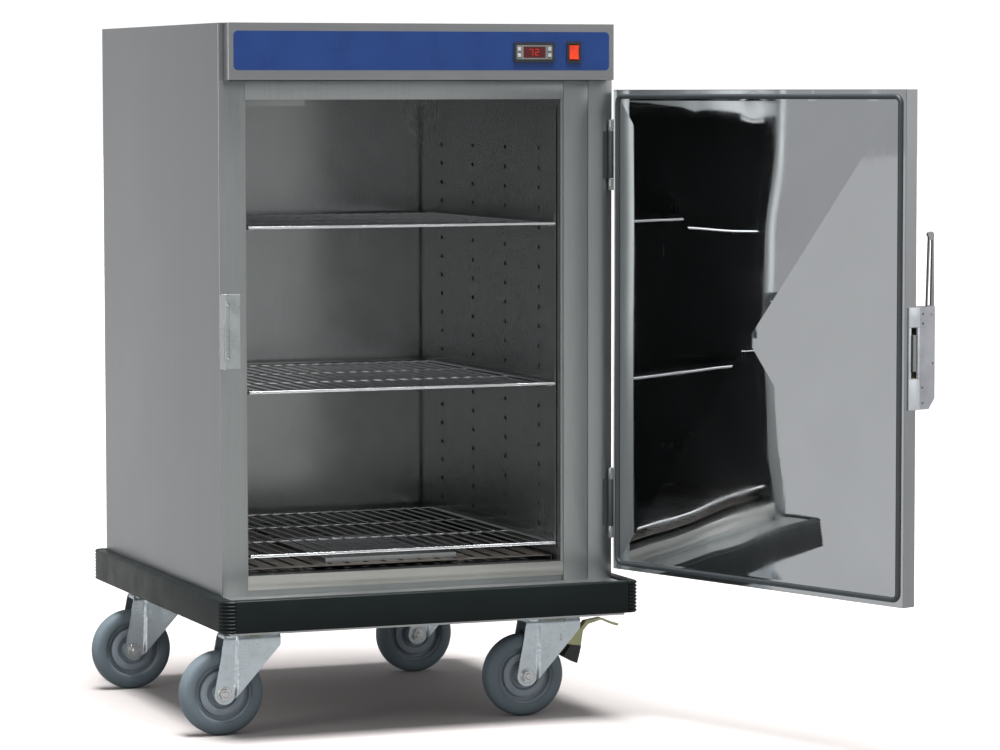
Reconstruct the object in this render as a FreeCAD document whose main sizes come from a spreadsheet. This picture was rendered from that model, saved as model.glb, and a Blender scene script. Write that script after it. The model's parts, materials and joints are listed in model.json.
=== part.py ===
import FreeCAD, Part
import os
import re
import Sketcher

# A mobile heated holding cabinet: an insulated stainless carcass with one hinged door, three wire
# shelves on slotted racks, a control fascia, a bumpered base and four swivel castors.
# Frame: x right, y back, z up. The origin is on the floor under the middle of the carcass.
# Inside this file, places are measured from the carcass's front left bottom corner.

DIMENSIONS = [
    # Carcass and base
    ("carcass_width", 740, "outside width of the carcass"),
    ("carcass_depth", 746, "outside depth of the carcass"),
    ("carcass_height", 1000, "height of the carcass above the base plate"),
    ("castor_height", 190, "floor to the underside of the chassis"),
    ("base_height", 60, "chassis and base plate together"),
    ("skin", 1.2, "stainless casing sheet"),
    ("frame_sheet", 1.5, "front frame sheet"),
    ("panel_flange", 20, "folded flange of a side panel"),
    ("base_front", 58, "how far the chassis stands in front of the carcass"),
    ("plate_thickness", 4, "base plate"),
    ("plate_inset", 3, "base plate inside the carcass sides"),
    ("plate_lip", 5, "base plate's front edge behind the chassis front"),
    ("rail_sheet", 3, "chassis channel sheet"),
    ("rail_flange", 40, "chassis channel flange"),
    ("pad_size", 145, "castor mounting pad, across"),
    ("pad_length", 175, "castor mounting pad, along"),
    ("bumper_thickness", 22, "bumper rail thickness and corner radius"),
    ("bumper_low", 54, "bumper's lower edge below the carcass"),
    ("bumper_high", 3, "bumper's upper edge above the base plate"),
    ("rib_depth", 1.2, "depth of the grooves in a bumper corner"),
    # Cavity and front frame
    ("frame_height", 900, "top of the front frame"),
    ("frame_left", 48, "width of the left stile"),
    ("frame_right", 95, "width of the right stile"),
    ("cavity_left", 50, "cavity's left wall"),
    ("cavity_right", 640, "cavity's right wall"),
    ("cavity_floor", 35, "cavity's floor"),
    ("cavity_roof", 867, "cavity's roof"),
    ("cavity_back", 696, "cavity's back wall"),
    ("liner", 1, "cavity liner sheet"),
    ("sill_low", 11, "lower edge of the sill's bright face"),
    ("sill_step", 3, "how far the sill's lower strip is set back"),
    ("insulation_gap", 1, "air between the insulation and the sheets"),
    # Racks and shelves
    ("rack_sheet", 1.2, "slotted rack sheet"),
    ("rack_standoff", 2, "rack's distance from the cavity wall"),
    ("rack_front", 20, "front edge of a rack"),
    ("rack_back", 660, "back edge of a rack"),
    ("rack_low", 55, "lower edge of a rack"),
    ("rack_high", 850, "upper edge of a rack"),
    ("slot_pitch", 36, "height between rack slots"),
    ("slot_height", 7, "rack slot height"),
    ("slot_depth", 18, "rack slot length, front to back"),
    ("slot_start", 68, "rack's front edge to the first column of slots"),
    ("slot_spacing", 168, "distance between columns of slots"),
    ("runner_height", 22, "runner's upright flange"),
    ("runner_width", 13, "runner's shelf flange"),
    ("shelf_low", 68, "bottom shelf height"),
    ("shelf_step", 288, "height between shelves"),
    ("shelf_front", 12, "front rod of a shelf"),
    ("shelf_depth", 630, "shelf, front rod to back rod"),
    ("shelf_half", 285, "middle of a shelf to its side rods"),
    ("rod_radius", 3, "shelf's border rods"),
    ("cross_radius", 2, "shelf's cross rods"),
    ("wire_radius", 1.6, "shelf's wires"),
    ("wire_pitch", 25, "distance between shelf wires"),
    ("shelf_clearance", 0.3, "air between a shelf and its runner"),
    # Floor cover, element and water tray
    ("cover_top", 44, "top of the slotted element cover"),
    ("cover_front", 30, "front edge of the element cover"),
    ("cover_back", 670, "back edge of the element cover"),
    ("cover_left", 56, "left edge of the element cover"),
    ("cover_right", 634, "right edge of the element cover"),
    ("element_radius", 3, "tubular heating element"),
    ("element_height", 39, "height of the element's middle"),
    ("element_pitch", 80, "distance between element runs"),
    ("element_front", 120, "front end of the element"),
    ("element_back", 600, "back end of the element"),
    ("tray_left", 212, "left edge of the water tray"),
    ("tray_right", 460, "right edge of the water tray"),
    ("tray_front", 60, "front edge of the water tray"),
    ("tray_back", 380, "back edge of the water tray"),
    ("tray_height", 9, "depth of the water tray"),
    ("probe_front", 15, "front edge of the probe's guard"),
    ("probe_length", 110, "length of the probe's guard"),
    # Control compartment and fascia
    ("terminal_x", 420, "left edge of the terminal block"),
    ("terminal_y", 600, "front edge of the terminal block"),
    ("terminal_width", 80, "terminal block, across"),
    ("terminal_height", 22, "terminal block with its barriers"),
    ("inlet_x", 620, "middle of the mains inlet"),
    ("inlet_z", 950, "height of the mains inlet"),
    ("inlet_width", 28, "mains inlet's hole"),
    ("inlet_height", 40, "mains inlet's hole"),
    ("inlet_depth", 26, "mains inlet behind the back panel"),
    ("fascia_inset", 8.7, "fascia's sides inside the carcass sides"),
    ("fascia_depth", 29, "how far the fascia stands forward"),
    ("fascia_low", 901, "lower edge of the fascia"),
    ("fascia_radius", 3, "fascia's front corner radius"),
    ("overlay_border", 10.3, "plain border beside the coloured overlay"),
    ("overlay_low", 918, "lower edge of the overlay"),
    ("overlay_high", 986, "upper edge of the overlay"),
    ("overlay_thickness", 0.6, "coloured overlay"),
    ("overlay_radius", 8, "overlay's corner radius"),
    ("controller_x", 576, "middle of the controller"),
    ("control_z", 950, "height of the controller and rocker"),
    ("bezel_width", 77, "controller bezel"),
    ("bezel_height", 35, "controller bezel"),
    ("bezel_depth", 3.5, "controller bezel in front of the fascia"),
    ("body_width", 71, "controller body behind the fascia"),
    ("body_height", 29, "controller body behind the fascia"),
    ("body_depth", 60, "controller body behind the fascia"),
    ("window_width", 42, "display window"),
    ("window_height", 20, "display window"),
    ("button_size", 6, "controller button"),
    ("button_x", 29, "controller's middle to a button"),
    ("button_z", 5.5, "controller's middle height to a button"),
    ("button_travel", 0.8, "button travel"),
    ("button_gap", 0.3, "air round a button"),
    ("rocker_x", 652.5, "middle of the rocker switch"),
    ("rocker_bezel_width", 27, "rocker bezel"),
    ("rocker_bezel_height", 38, "rocker bezel"),
    ("rocker_hole_width", 18.5, "hole in the rocker bezel"),
    ("rocker_hole_height", 28, "hole in the rocker bezel"),
    ("rocker_sleeve_width", 22, "rocker's sleeve behind the fascia"),
    ("rocker_sleeve_height", 30, "rocker's sleeve behind the fascia"),
    ("control_gap", 0.4, "how much larger the fascia's holes are"),
    ("rocker_gap", 0.8, "air round the rocker"),
    ("rocker_depth", 9, "rocker, front to back"),
    # Door, in its closed place
    ("door_left", 6.5, "door's free edge"),
    ("door_right", 728, "door's hinge edge"),
    ("door_low", 19.6, "door's lower edge"),
    ("door_high", 883.5, "door's upper edge"),
    ("door_front", -34, "door's outer face"),
    ("door_back", -6, "door's inner face"),
    ("door_radius", 2, "folded corner of the outer pan"),
    ("panel_rise", 12, "how far the inner panel's middle is broken out"),
    ("door_open", 109.1, "angle of the door from closed"),
    ("hinge_x", 735, "hinge axis"),
    ("hinge_y", -8, "hinge axis"),
    ("hinge_low", 138.5, "middle of the lower hinge"),
    ("hinge_high", 767, "middle of the upper hinge"),
    ("knuckle_radius", 6, "hinge knuckle"),
    ("knuckle_half", 42, "half height of the middle knuckle"),
    ("hinge_half", 63.5, "half height of a hinge"),
    ("hinge_gap", 0.3, "air between knuckles"),
    ("pin_radius", 3, "hinge pin"),
    ("pin_fit", 0.05, "running clearance of pins and axles"),
    ("leaf_left", 722.5, "edge of the frame leaf"),
    ("wing_sheet", 1.5, "hinge wing on the door's edge"),
    ("gasket_inset", 7.5, "door's edge to the gasket"),
    ("gasket_width", 9, "gasket width"),
    ("gasket_height", 4.5, "gasket height"),
    ("gasket_radius", 16, "gasket's outer corner radius"),
    # Latch and keeper, with the door in its closed place
    ("latch_low", 350, "lower end of the latch"),
    ("latch_high", 522, "upper end of the latch"),
    ("latch_left", 4.5, "bracket's outer face"),
    ("latch_right", 36, "latch body's inner side"),
    ("latch_front", -79, "latch body's outer face"),
    ("latch_wall", 3, "latch body wall"),
    ("bracket_front", -40.5, "bracket's outer edge"),
    ("bracket_back", -13.5, "bracket's inner edge"),
    ("window_low", 403, "latch window"),
    ("window_high", 488, "latch window"),
    ("window_front", -33, "latch window"),
    ("window_back", -16, "latch window"),
    ("tongue_front", -27, "tongue's front"),
    ("tongue_back", -21, "tongue's back"),
    ("tongue_low", 415, "tongue's lower end"),
    ("tongue_high", 476, "tongue's upper end"),
    ("tongue_tip", 0.2, "tongue's tip"),
    ("tongue_tail", 24, "tongue's inner end"),
    ("pocket_right", 34, "end of the tongue's pocket in the door"),
    ("lever_x", 8, "left side of the lever"),
    ("lever_width", 4, "lever width"),
    ("lever_y", -69.5, "lever's pivot"),
    ("lever_z", 508, "lever's pivot"),
    ("lever_top", 647, "top of the lever"),
    ("lever_hub", 8, "lever's hub radius"),
    ("lever_pin", 2.5, "lever's pin radius"),
    ("keeper_low", 400, "keeper's lower end"),
    ("keeper_high", 530, "keeper's upper end"),
    ("keeper_left", 0.5, "keeper lip's outer face"),
    ("keeper_right", 37, "keeper plate's inner end"),
    ("keeper_sheet", 1.2, "keeper sheet"),
    ("keeper_front", -32, "keeper lip's front edge"),
    ("keeper_slot_gap", 1.5, "air round the tongue in the keeper's slot"),
    ("keeper_screw_x", 13.5, "keeper screws"),
    # Screws
    ("screw_edge", 12, "carcass's side to a row of screws"),
    ("screw_head_radius", 3.7, "screw head"),
    ("screw_hole_radius", 4, "countersunk hole"),
    ("dome_height", 2.2, "dome head on the back panel"),
    # Castors, each about its own swivel axis
    ("castor_left", 70, "left castors' swivel axis"),
    ("castor_right", 642, "right castors' swivel axis"),
    ("castor_front", 54, "front castors' swivel axis"),
    ("castor_back", 630, "back castors' swivel axis"),
    ("castor_turn", 0, "angle of the castors at rest"),
    ("trail", 56, "swivel axis to wheel axle"),
    ("wheel_radius", 75, "wheel radius"),
    ("tyre_width", 38, "tyre width"),
    ("rim_radius", 51, "hub radius under the tyre"),
    ("hub_width", 40, "hub width at the axle"),
    ("web_width", 14, "hub width at the web"),
    ("boss_radius", 17, "hub's boss radius"),
    ("axle_radius", 6, "axle radius"),
    ("fork_gap", 42, "air between the fork legs"),
    ("fork_sheet", 3.5, "fork sheet"),
    ("fork_front", 47, "fork's top, ahead of the swivel axis"),
    ("fork_back", 55, "fork's top, behind the swivel axis"),
    ("fork_crown_low", 171, "underside of the fork's crown"),
    ("fork_crown_high", 177.6, "top of the fork's crown"),
    ("fork_knee", 158, "height where the fork starts to narrow"),
    ("fork_foot", 19, "radius of the fork round the axle"),
    ("king_radius", 6, "king pin radius"),
    ("race_radius", 36, "swivel race"),
    ("pin_gap", 0.4, "air between the race and the fork"),
    ("axle_head_radius", 10, "axle bolt's head and nut"),
    ("bolt_head_radius", 6.5, "castor bolt heads"),
    ("plate_half_x", 50, "castor top plate"),
    ("plate_half_y", 42, "castor top plate"),
    ("bolt_x", 38, "castor bolt spacing, half"),
    ("bolt_y", 30, "castor bolt spacing, half"),
    ("brake_x", 10, "brake pivot in front of the swivel axis"),
    ("brake_z", 142, "brake pivot height"),
    ("brake_pin", 4, "brake pivot radius"),
]

ALIASES = {name for name, value, use in DIMENSIONS}

CORNER_RIBS = 9
RACK_COLUMNS = 4
RACK_ROWS = 20
# Where the screws stand, as shares of the carcass's depth and height.
TOP_SCREW_SHARES = (0.04, 0.36, 0.67, 0.925, 0.975)
BACK_SCREW_SHARES = (0.04, 0.28, 0.52, 0.76, 0.96)

doc = FreeCAD.newDocument("holding_cabinet")
nodes = []


def make_sheet():
    """The spreadsheet that holds every driving dimension as a plain number."""
    sheet = doc.addObject("Spreadsheet::Sheet", "dims")
    for row, (name, value, use) in enumerate(DIMENSIONS, start=1):
        sheet.set(f"A{row}", str(value))
        sheet.setAlias(f"A{row}", name)
        sheet.set(f"B{row}", use)
    doc.recompute()


def qualified(expression):
    """The expression with each dimension's name pointed at the spreadsheet."""
    return re.sub(
        r"\b[a-z][a-z_]*\b",
        lambda word: f"dims.{word[0]}" if word[0] in ALIASES else word[0],
        str(expression),
    )


def bind(thing, name, expression):
    thing.setExpression(name, qualified(expression))


def from_left(place):
    return f"-carcass_width / 2 + ({place})"


def from_front(place):
    return f"-carcass_depth / 2 + ({place})"


def from_base(place):
    return f"castor_height + base_height + ({place})"


def box(name, across, along, up, local=False):
    """A block between two places on each axis, from the carcass corner or in its own local frame."""
    thing = doc.addObject("Part::Box", name)
    shift = [str, str, str] if local else [from_left, from_front, from_base]
    sides = zip(("Length", "Width", "Height"), "xyz", (across, along, up), shift)
    for size, axis, (low, high), move in sides:
        bind(thing, size, f"({high}) - ({low})")
        bind(thing, f"Placement.Base.{axis}", move(low))
    return thing


TURNS = {
    "x": FreeCAD.Rotation(FreeCAD.Vector(0, 1, 0), 90),
    "y": FreeCAD.Rotation(FreeCAD.Vector(1, 0, 0), -90),
    "z": FreeCAD.Rotation(),
}


def cylinder(name, radius, length, base, axis="z", local=False):
    """A cylinder that starts at base and runs along the named axis."""
    thing = doc.addObject("Part::Cylinder", name)
    thing.Placement = FreeCAD.Placement(FreeCAD.Vector(), TURNS[axis])
    bind(thing, "Radius", radius)
    bind(thing, "Height", length)
    shift = [str, str, str] if local else [from_left, from_front, from_base]
    for direction, place, move in zip("xyz", base, shift):
        bind(thing, f"Placement.Base.{direction}", move(place))
    return thing


def fuse(name, parts):
    thing = doc.addObject("Part::MultiFuse", name)
    thing.Shapes = parts
    thing.Refine = True
    return thing


def cut(name, base, tools):
    thing = doc.addObject("Part::Cut", name)
    thing.Base = base
    thing.Tool = tools[0] if len(tools) == 1 else fuse(f"{name}_tools", tools)
    return thing


def group(name, parts):
    """Separate solids that belong to one sub-part."""
    thing = doc.addObject("Part::Compound", name)
    thing.Links = parts
    return thing


PLANES = {"x": "YZ_Plane", "y": "XZ_Plane", "z": "XY_Plane"}


def polygon_sketch(body, axis, corners):
    """A closed outline on the body's own plane, with every corner tied to the dimensions."""
    sketch = body.newObject("Sketcher::SketchObject", f"{body.Name}_outline")
    roles = {feature.Role: feature for feature in body.Origin.OriginFeatures}
    sketch.AttachmentSupport = (roles[PLANES[axis]], "")
    sketch.MapMode = "FlatFace"
    count = len(corners)
    ring = [FreeCAD.Vector(10, 0, 0) for _ in corners]
    for index in range(count):
        turn = FreeCAD.Rotation(FreeCAD.Vector(0, 0, 1), 360 * index / count)
        ring[index] = turn.multVec(FreeCAD.Vector(10, 0, 0))
    for index in range(count):
        sketch.addGeometry(Part.LineSegment(ring[index], ring[(index + 1) % count]))
    for index in range(count):
        following = (index + 1) % count
        sketch.addConstraint(Sketcher.Constraint("Coincident", index, 2, following, 1))
    for index, (first, second) in enumerate(corners):
        places = (("DistanceX", ring[index].x, first), ("DistanceY", ring[index].y, second))
        for kind, start, place in places:
            number = sketch.addConstraint(Sketcher.Constraint(kind, -1, 1, index, 1, start))
            bind(sketch, f"Constraints[{number}]", place)
    return sketch


def pad(name, axis, corners, length, middle=False):
    """A body whose outline is padded square to its plane."""
    body = doc.addObject("PartDesign::Body", name)
    sketch = polygon_sketch(body, axis, corners)
    feature = body.newObject("PartDesign::Pad", f"{name}_pad")
    feature.Profile = sketch
    bind(feature, "Length", length)
    if middle:
        feature.SideType = "Symmetric"
    return body, feature


def revolve(name, corners):
    """A body turned about its own y axis; corners are radius and place along the axis."""
    body = doc.addObject("PartDesign::Body", name)
    sketch = polygon_sketch(body, "z", corners)
    feature = body.newObject("PartDesign::Revolution", f"{name}_turned")
    feature.Profile = sketch
    feature.ReferenceAxis = (sketch, ["V_Axis"])
    feature.Angle = 360
    return body


DIRECTIONS = {
    "x": FreeCAD.Vector(1, 0, 0),
    "y": FreeCAD.Vector(0, 1, 0),
    "z": FreeCAD.Vector(0, 0, 1),
}


def edges_along(shape, axis):
    """The names of the straight edges that run along an axis."""
    names = []
    for number, edge in enumerate(shape.Edges, start=1):
        straight = edge.Curve.TypeId == "Part::GeomLine"
        if straight and abs(edge.tangentAt(edge.FirstParameter).dot(DIRECTIONS[axis])) > 0.99:
            names.append(f"Edge{number}")
    return names


def rounded_block(name, across, along, up, axis, radius, local=False):
    """A block with the four edges along one axis rounded."""
    spans = {"x": across, "y": along, "z": up}
    flat = [spans[direction] for direction in "xyz" if direction != axis]
    wide = f"({flat[0][1]}) - ({flat[0][0]})"
    tall = f"({flat[1][1]}) - ({flat[1][0]})"
    low, high = spans[axis]
    outline = [("0", "0"), (wide, "0"), (wide, tall), ("0", tall)]
    body, feature = pad(name, axis, outline, f"({high}) - ({low})")
    doc.recompute()
    rounding = body.newObject("PartDesign::Fillet", f"{name}_round")
    rounding.Base = (feature, edges_along(feature.Shape, axis))
    bind(rounding, "Radius", radius)
    shift = [str, str, str] if local else [from_left, from_front, from_base]
    for direction, move in zip("xyz", shift):
        # a pad on the xz plane grows towards -y, so it starts at its high end
        end = 1 if direction == axis == "y" else 0
        bind(body, f"Placement.Base.{direction}", move(spans[direction][end]))
    return body


def add_node(label, thing):
    thing.Label = label
    nodes.append(thing)
    return thing


def add_door_node(label, thing):
    """A sub-part of the door, swung from its closed place to its rest place."""
    axis_x = from_left("hinge_x")
    axis_y = from_front("hinge_y")
    swing = "rotation(vector(0; 0; 1); door_open)"
    centre = f"vector({axis_x}; {axis_y}; 0)"
    bind(thing, "Placement", f"placement(vector(0; 0; 0); {swing}; {centre})")
    return add_node(label, thing)


# Carcass


def side_panel(label, outer, inner, flange):
    """A side sheet with a flange folded in at the front and at the back."""
    depth = ("frame_sheet", "carcass_depth")
    height = ("0", "carcass_height - skin")
    sheet = rounded_block(f"{label}_sheet", (outer, inner), depth, height, "z", "skin / 3")
    front = box(f"{label}_front", flange, ("frame_sheet", "frame_sheet + skin"), height)
    back = box(f"{label}_back", flange, ("carcass_depth - skin", "carcass_depth"), height)
    add_node(label, fuse(label, [sheet, front, back]))


def make_casing():
    side_panel("left_side_panel", "0", "skin", ("skin / 2", "panel_flange"))
    right_edge = ("carcass_width - panel_flange", "carcass_width - skin / 2")
    side_panel("right_side_panel", "carcass_width - skin", "carcass_width", right_edge)
    across = ("skin", "carcass_width - skin")
    behind = ("carcass_depth - 2 * skin", "carcass_depth - skin")
    back = box("back_sheet", across, behind, ("0", "carcass_height - skin"))
    # The mains inlet's rectangular hole, high on the back, beside the control compartment.
    through = ("carcass_depth - 10", "carcass_depth + 10")
    inlet_hole = box("inlet_hole", inlet_span(0), through, inlet_span(0, up=True))
    add_node("back_panel", cut("back_panel", back, [inlet_hole]))
    whole = ("0", "carcass_width")
    roof = ("carcass_height - skin", "carcass_height")
    sheet = box("top_sheet", whole, ("0", "carcass_depth"), roof)
    holes = top_screws("top_hole", "screw_hole_radius", 1)
    add_node("top_panel", cut("top_panel", sheet, holes))


def inlet_span(grow, up=False):
    """The mains inlet's width or height, made larger on both sides by grow."""
    if up:
        return (f"inlet_z - inlet_height / 2 - ({grow})", f"inlet_z + inlet_height / 2 + ({grow})")
    return (f"inlet_x - inlet_width / 2 - ({grow})", f"inlet_x + inlet_width / 2 + ({grow})")


def top_screws(name, radius, extra):
    """Upright cylinders at the top panel's ten screws; extra lengthens them at both ends."""
    screws = []
    for across in ("screw_edge", "carcass_width - screw_edge"):
        for share in TOP_SCREW_SHARES:
            base = (across, f"carcass_depth * {share}", f"carcass_height - skin - {extra}")
            screws.append(cylinder(f"{name}_{len(screws)}", radius, f"skin + 2 * {extra}", base))
    return screws


def make_front_frame():
    """Two stiles, a header and a stepped sill, welded into one frame."""
    depth = ("0", "frame_sheet")
    right = "carcass_width - frame_right"
    left_stile = box("left_stile", ("1.5", "frame_left"), depth, ("0", "frame_height"))
    right_stile = box("right_stile", (right, "carcass_width - 1.5"), depth, ("0", "frame_height"))
    between = ("frame_left", right)
    header_depth = ("frame_sheet / 2", "frame_sheet * 1.5")
    header = box("header", between, header_depth, ("cavity_roof", "frame_height"))
    sill_face = box("sill_face", between, depth, ("sill_low", "cavity_floor"))
    set_back = ("sill_step", "sill_step + frame_sheet")
    sill_foot = box("sill_foot", between, set_back, ("0", "sill_low"))
    ledge = ("frame_sheet / 2", "sill_step + frame_sheet")
    sill_ledge = box("sill_ledge", between, ledge, ("sill_low - frame_sheet", "sill_low"))
    sill = fuse("sill", [sill_face, sill_foot, sill_ledge])
    add_node("front_frame", group("front_frame", [left_stile, right_stile, header, sill]))


def make_liner():
    """The polished cavity box: walls, floor, roof and back, with flanges behind the front frame."""
    front = "frame_sheet * 1.5"
    depth = (front, "cavity_back")
    inside = ("cavity_left", "cavity_right")
    around = ("cavity_left - liner", "cavity_right + liner")
    height = ("cavity_floor", "cavity_roof")
    flange_depth = ("frame_sheet + liner / 2", "frame_sheet + liner * 1.5")
    left_flange = ("frame_left - 6", "cavity_left - liner")
    right_flange = ("cavity_right + liner", "carcass_width - frame_right + 6")
    walls = [
        box("liner_left", ("cavity_left - liner", "cavity_left"), depth, height),
        box("liner_right", ("cavity_right", "cavity_right + liner"), depth, height),
        box("liner_floor", around, depth, ("cavity_floor - liner", "cavity_floor")),
        box("liner_roof", around, depth, ("cavity_roof", "cavity_roof + liner")),
        box("liner_back", around, ("cavity_back", "cavity_back + liner"), height),
        box("liner_left_flange", left_flange, flange_depth, height),
        box("liner_right_flange", right_flange, flange_depth, height),
    ]
    add_node("cavity_liner", group("cavity_liner", walls))


def make_insulation():
    """Slabs that fill the walls between the casing and the liner."""
    gap = "insulation_gap"
    front = f"5 + {gap}"
    back_in = f"cavity_back + liner + {gap}"
    back_out = f"carcass_depth - 2 * skin - {gap}"
    left = (f"skin + {gap}", f"cavity_left - liner - {gap}")
    right = (f"cavity_right + liner + {gap}", f"carcass_width - skin - {gap}")
    low = (f"{gap}", f"cavity_floor - liner - {gap}")
    high = (f"cavity_roof + liner + {gap}", f"frame_height - 2 * skin - {gap}")
    between = (f"{left[1]} + {gap}", f"{right[0]} - {gap}")
    full = (low[0], high[1])
    slabs = [
        box("insulation_left", left, (front, back_in), full),
        box("insulation_right", right, (front, back_in), full),
        box("insulation_back", (left[0], right[1]), (f"{back_in} + {gap}", back_out), full),
        box("insulation_floor", between, (front, back_in), low),
        box("insulation_roof", between, (front, back_in), high),
    ]
    add_node("wall_insulation", group("wall_insulation", slabs))


def make_control_tray():
    """The sheet between the roof insulation and the control compartment, with its parts."""
    inside = ("skin + insulation_gap", "carcass_width - skin - insulation_gap")
    depth = ("5", "carcass_depth - 4 * skin")
    tray = box("control_tray", inside, depth, ("frame_height - 2 * skin", "frame_height - skin"))
    add_node("control_tray", tray)
    # The terminal block: a base with a row of raised barriers.
    top = "frame_height - skin"
    across = ("terminal_x", "terminal_x + terminal_width")
    along = ("terminal_y", "terminal_y + terminal_width / 2")
    base = box("terminal_base", across, along, (top, f"{top} + terminal_height / 2"))
    blocks = [base]
    for number in range(6):
        left = f"terminal_x + {number} / 5 * (terminal_width - 2)"
        up = (f"{top} + terminal_height / 2 - 1", f"{top} + terminal_height")
        blocks.append(box(f"terminal_barrier_{number}", (left, f"{left} + 2"), along, up))
    add_node("terminal_block", fuse("terminal_block", blocks))
    make_inlet()


def make_inlet():
    """The mains inlet: a flanged socket body, open to the back, with three contact blades."""
    back = "carcass_depth - 2 * skin"
    outside = ("carcass_depth - skin", "carcass_depth + 2")
    flange = box("inlet_flange", inlet_span(5), outside, inlet_span(6, up=True))
    inside = (f"{back} - inlet_depth", "carcass_depth - skin / 2")
    shell = box("inlet_shell", inlet_span("-0.3"), inside, inlet_span("-0.3", up=True))
    open_end = (f"{back} - inlet_depth + 6", "carcass_depth + 5")
    hollow = box("inlet_hollow", inlet_span(-3), open_end, inlet_span(-4, up=True))
    socket = cut("inlet_socket", fuse("inlet_body", [flange, shell]), [hollow])
    blades = []
    for across, up in ((-7, -10), (5, -10), (-1, 5)):
        blades.append(
            box(
                f"inlet_blade_{len(blades)}",
                (f"inlet_x + {across}", f"inlet_x + {across} + 2"),
                (f"{back} - inlet_depth + 5", "carcass_depth - 6"),
                (f"inlet_z + {up}", f"inlet_z + {up} + 6"),
            )
        )
    add_node("mains_inlet", fuse("mains_inlet", [socket] + blades))


# Base and bumper


def make_base():
    width = ("plate_inset", "carcass_width - plate_inset")
    plate_depth = ("-base_front + plate_lip", "carcass_depth - plate_inset")
    add_node("base_plate", box("base_plate", width, plate_depth, ("-plate_thickness", "0")))
    front = "-base_front"
    back = "carcass_depth"
    right = "carcass_width"
    whole = ("0", right)
    between = (f"{front} + rail_flange", f"{back} - rail_flange")
    channels = [
        rail("front", whole, (front, f"{front} + rail_sheet"), whole, (front, f"{front} + rail_flange")),
        rail("back", whole, (f"{back} - rail_sheet", back), whole, (f"{back} - rail_flange", back)),
        rail("left", ("0", "rail_sheet"), between, ("0", "rail_flange"), between),
        rail("right", (f"{right} - rail_sheet", right), between, (f"{right} - rail_flange", right), between),
    ]
    # A pad in each corner carries a castor; it is welded on top of the lower flanges.
    pad_up = ("-base_height + rail_sheet", "-base_height + 2 * rail_sheet")
    pads = []
    for across in (("rail_sheet", "pad_size"), (f"{right} - pad_size", f"{right} - rail_sheet")):
        for along in (
            (f"{front} + rail_sheet", f"{front} + pad_length"),
            (f"{back} - pad_length", f"{back} - rail_sheet"),
        ):
            pads.append(box(f"pad_{len(pads)}", across, along, pad_up))
    add_node("chassis_frame", group("chassis_frame", channels + pads))


def rail(side, web_x, web_y, flange_x, flange_y):
    """One channel of the chassis: an upright web with a flange above and below."""
    floor = "-base_height"
    under = "-plate_thickness"
    web = box(f"rail_{side}_web", web_x, web_y, (floor, under))
    upper = box(f"rail_{side}_upper", flange_x, flange_y, (f"{under} - rail_sheet", under))
    lower = box(f"rail_{side}_lower", flange_x, flange_y, (floor, f"{floor} + rail_sheet"))
    return fuse(f"rail_{side}", [web, upper, lower])


def make_bumper():
    thick = "bumper_thickness"
    up = ("-bumper_low", "bumper_high")
    front = "-base_front"
    back = "carcass_depth"
    right = "carcass_width"
    rails = [
        box("bumper_front", ("0", right), (f"{front} - {thick}", front), up),
        box("bumper_back", ("0", right), (back, f"{back} + {thick}"), up),
        box("bumper_left", (f"-{thick}", "0"), (front, back), up),
        box("bumper_right", (right, f"{right} + {thick}"), (front, back), up),
    ]
    add_node("bumper_rails", group("bumper_rails", rails))
    corners = []
    for across, along, turn in (("0", front, 180), (right, front, 270), (right, back, 0), ("0", back, 90)):
        corners.append(bumper_corner(len(corners), across, along, turn))
    add_node("bumper_corners", group("bumper_corners", corners))


def bumper_corner(number, across, along, turn):
    """A quarter-round corner piece with grooves round it."""
    name = f"corner_{number}"
    height = "bumper_low + bumper_high"
    core_radius = "bumper_thickness - rib_depth"
    core = quarter(f"{name}_core", core_radius, height, across, along, "-bumper_low", turn)
    pitch = f"({height}) / {CORNER_RIBS}"
    ribs = []
    for rib in range(CORNER_RIBS):
        start = f"-bumper_low + {rib} * {pitch}"
        thickness = f"{pitch} * 0.6"
        ribs.append(
            quarter(f"{name}_rib_{rib}", "bumper_thickness", thickness, across, along, start, turn)
        )
    return fuse(name, [core] + ribs)


def quarter(name, radius, height, across, along, base, turn):
    thing = cylinder(name, radius, height, (across, along, base))
    thing.Angle = 90
    upright = FreeCAD.Rotation(FreeCAD.Vector(0, 0, 1), turn)
    thing.Placement = FreeCAD.Placement(FreeCAD.Vector(), upright)
    for direction, place in zip("xyz", (from_left(across), from_front(along), from_base(base))):
        bind(thing, f"Placement.Base.{direction}", place)
    return thing


# Racks, shelves and floor


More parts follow.
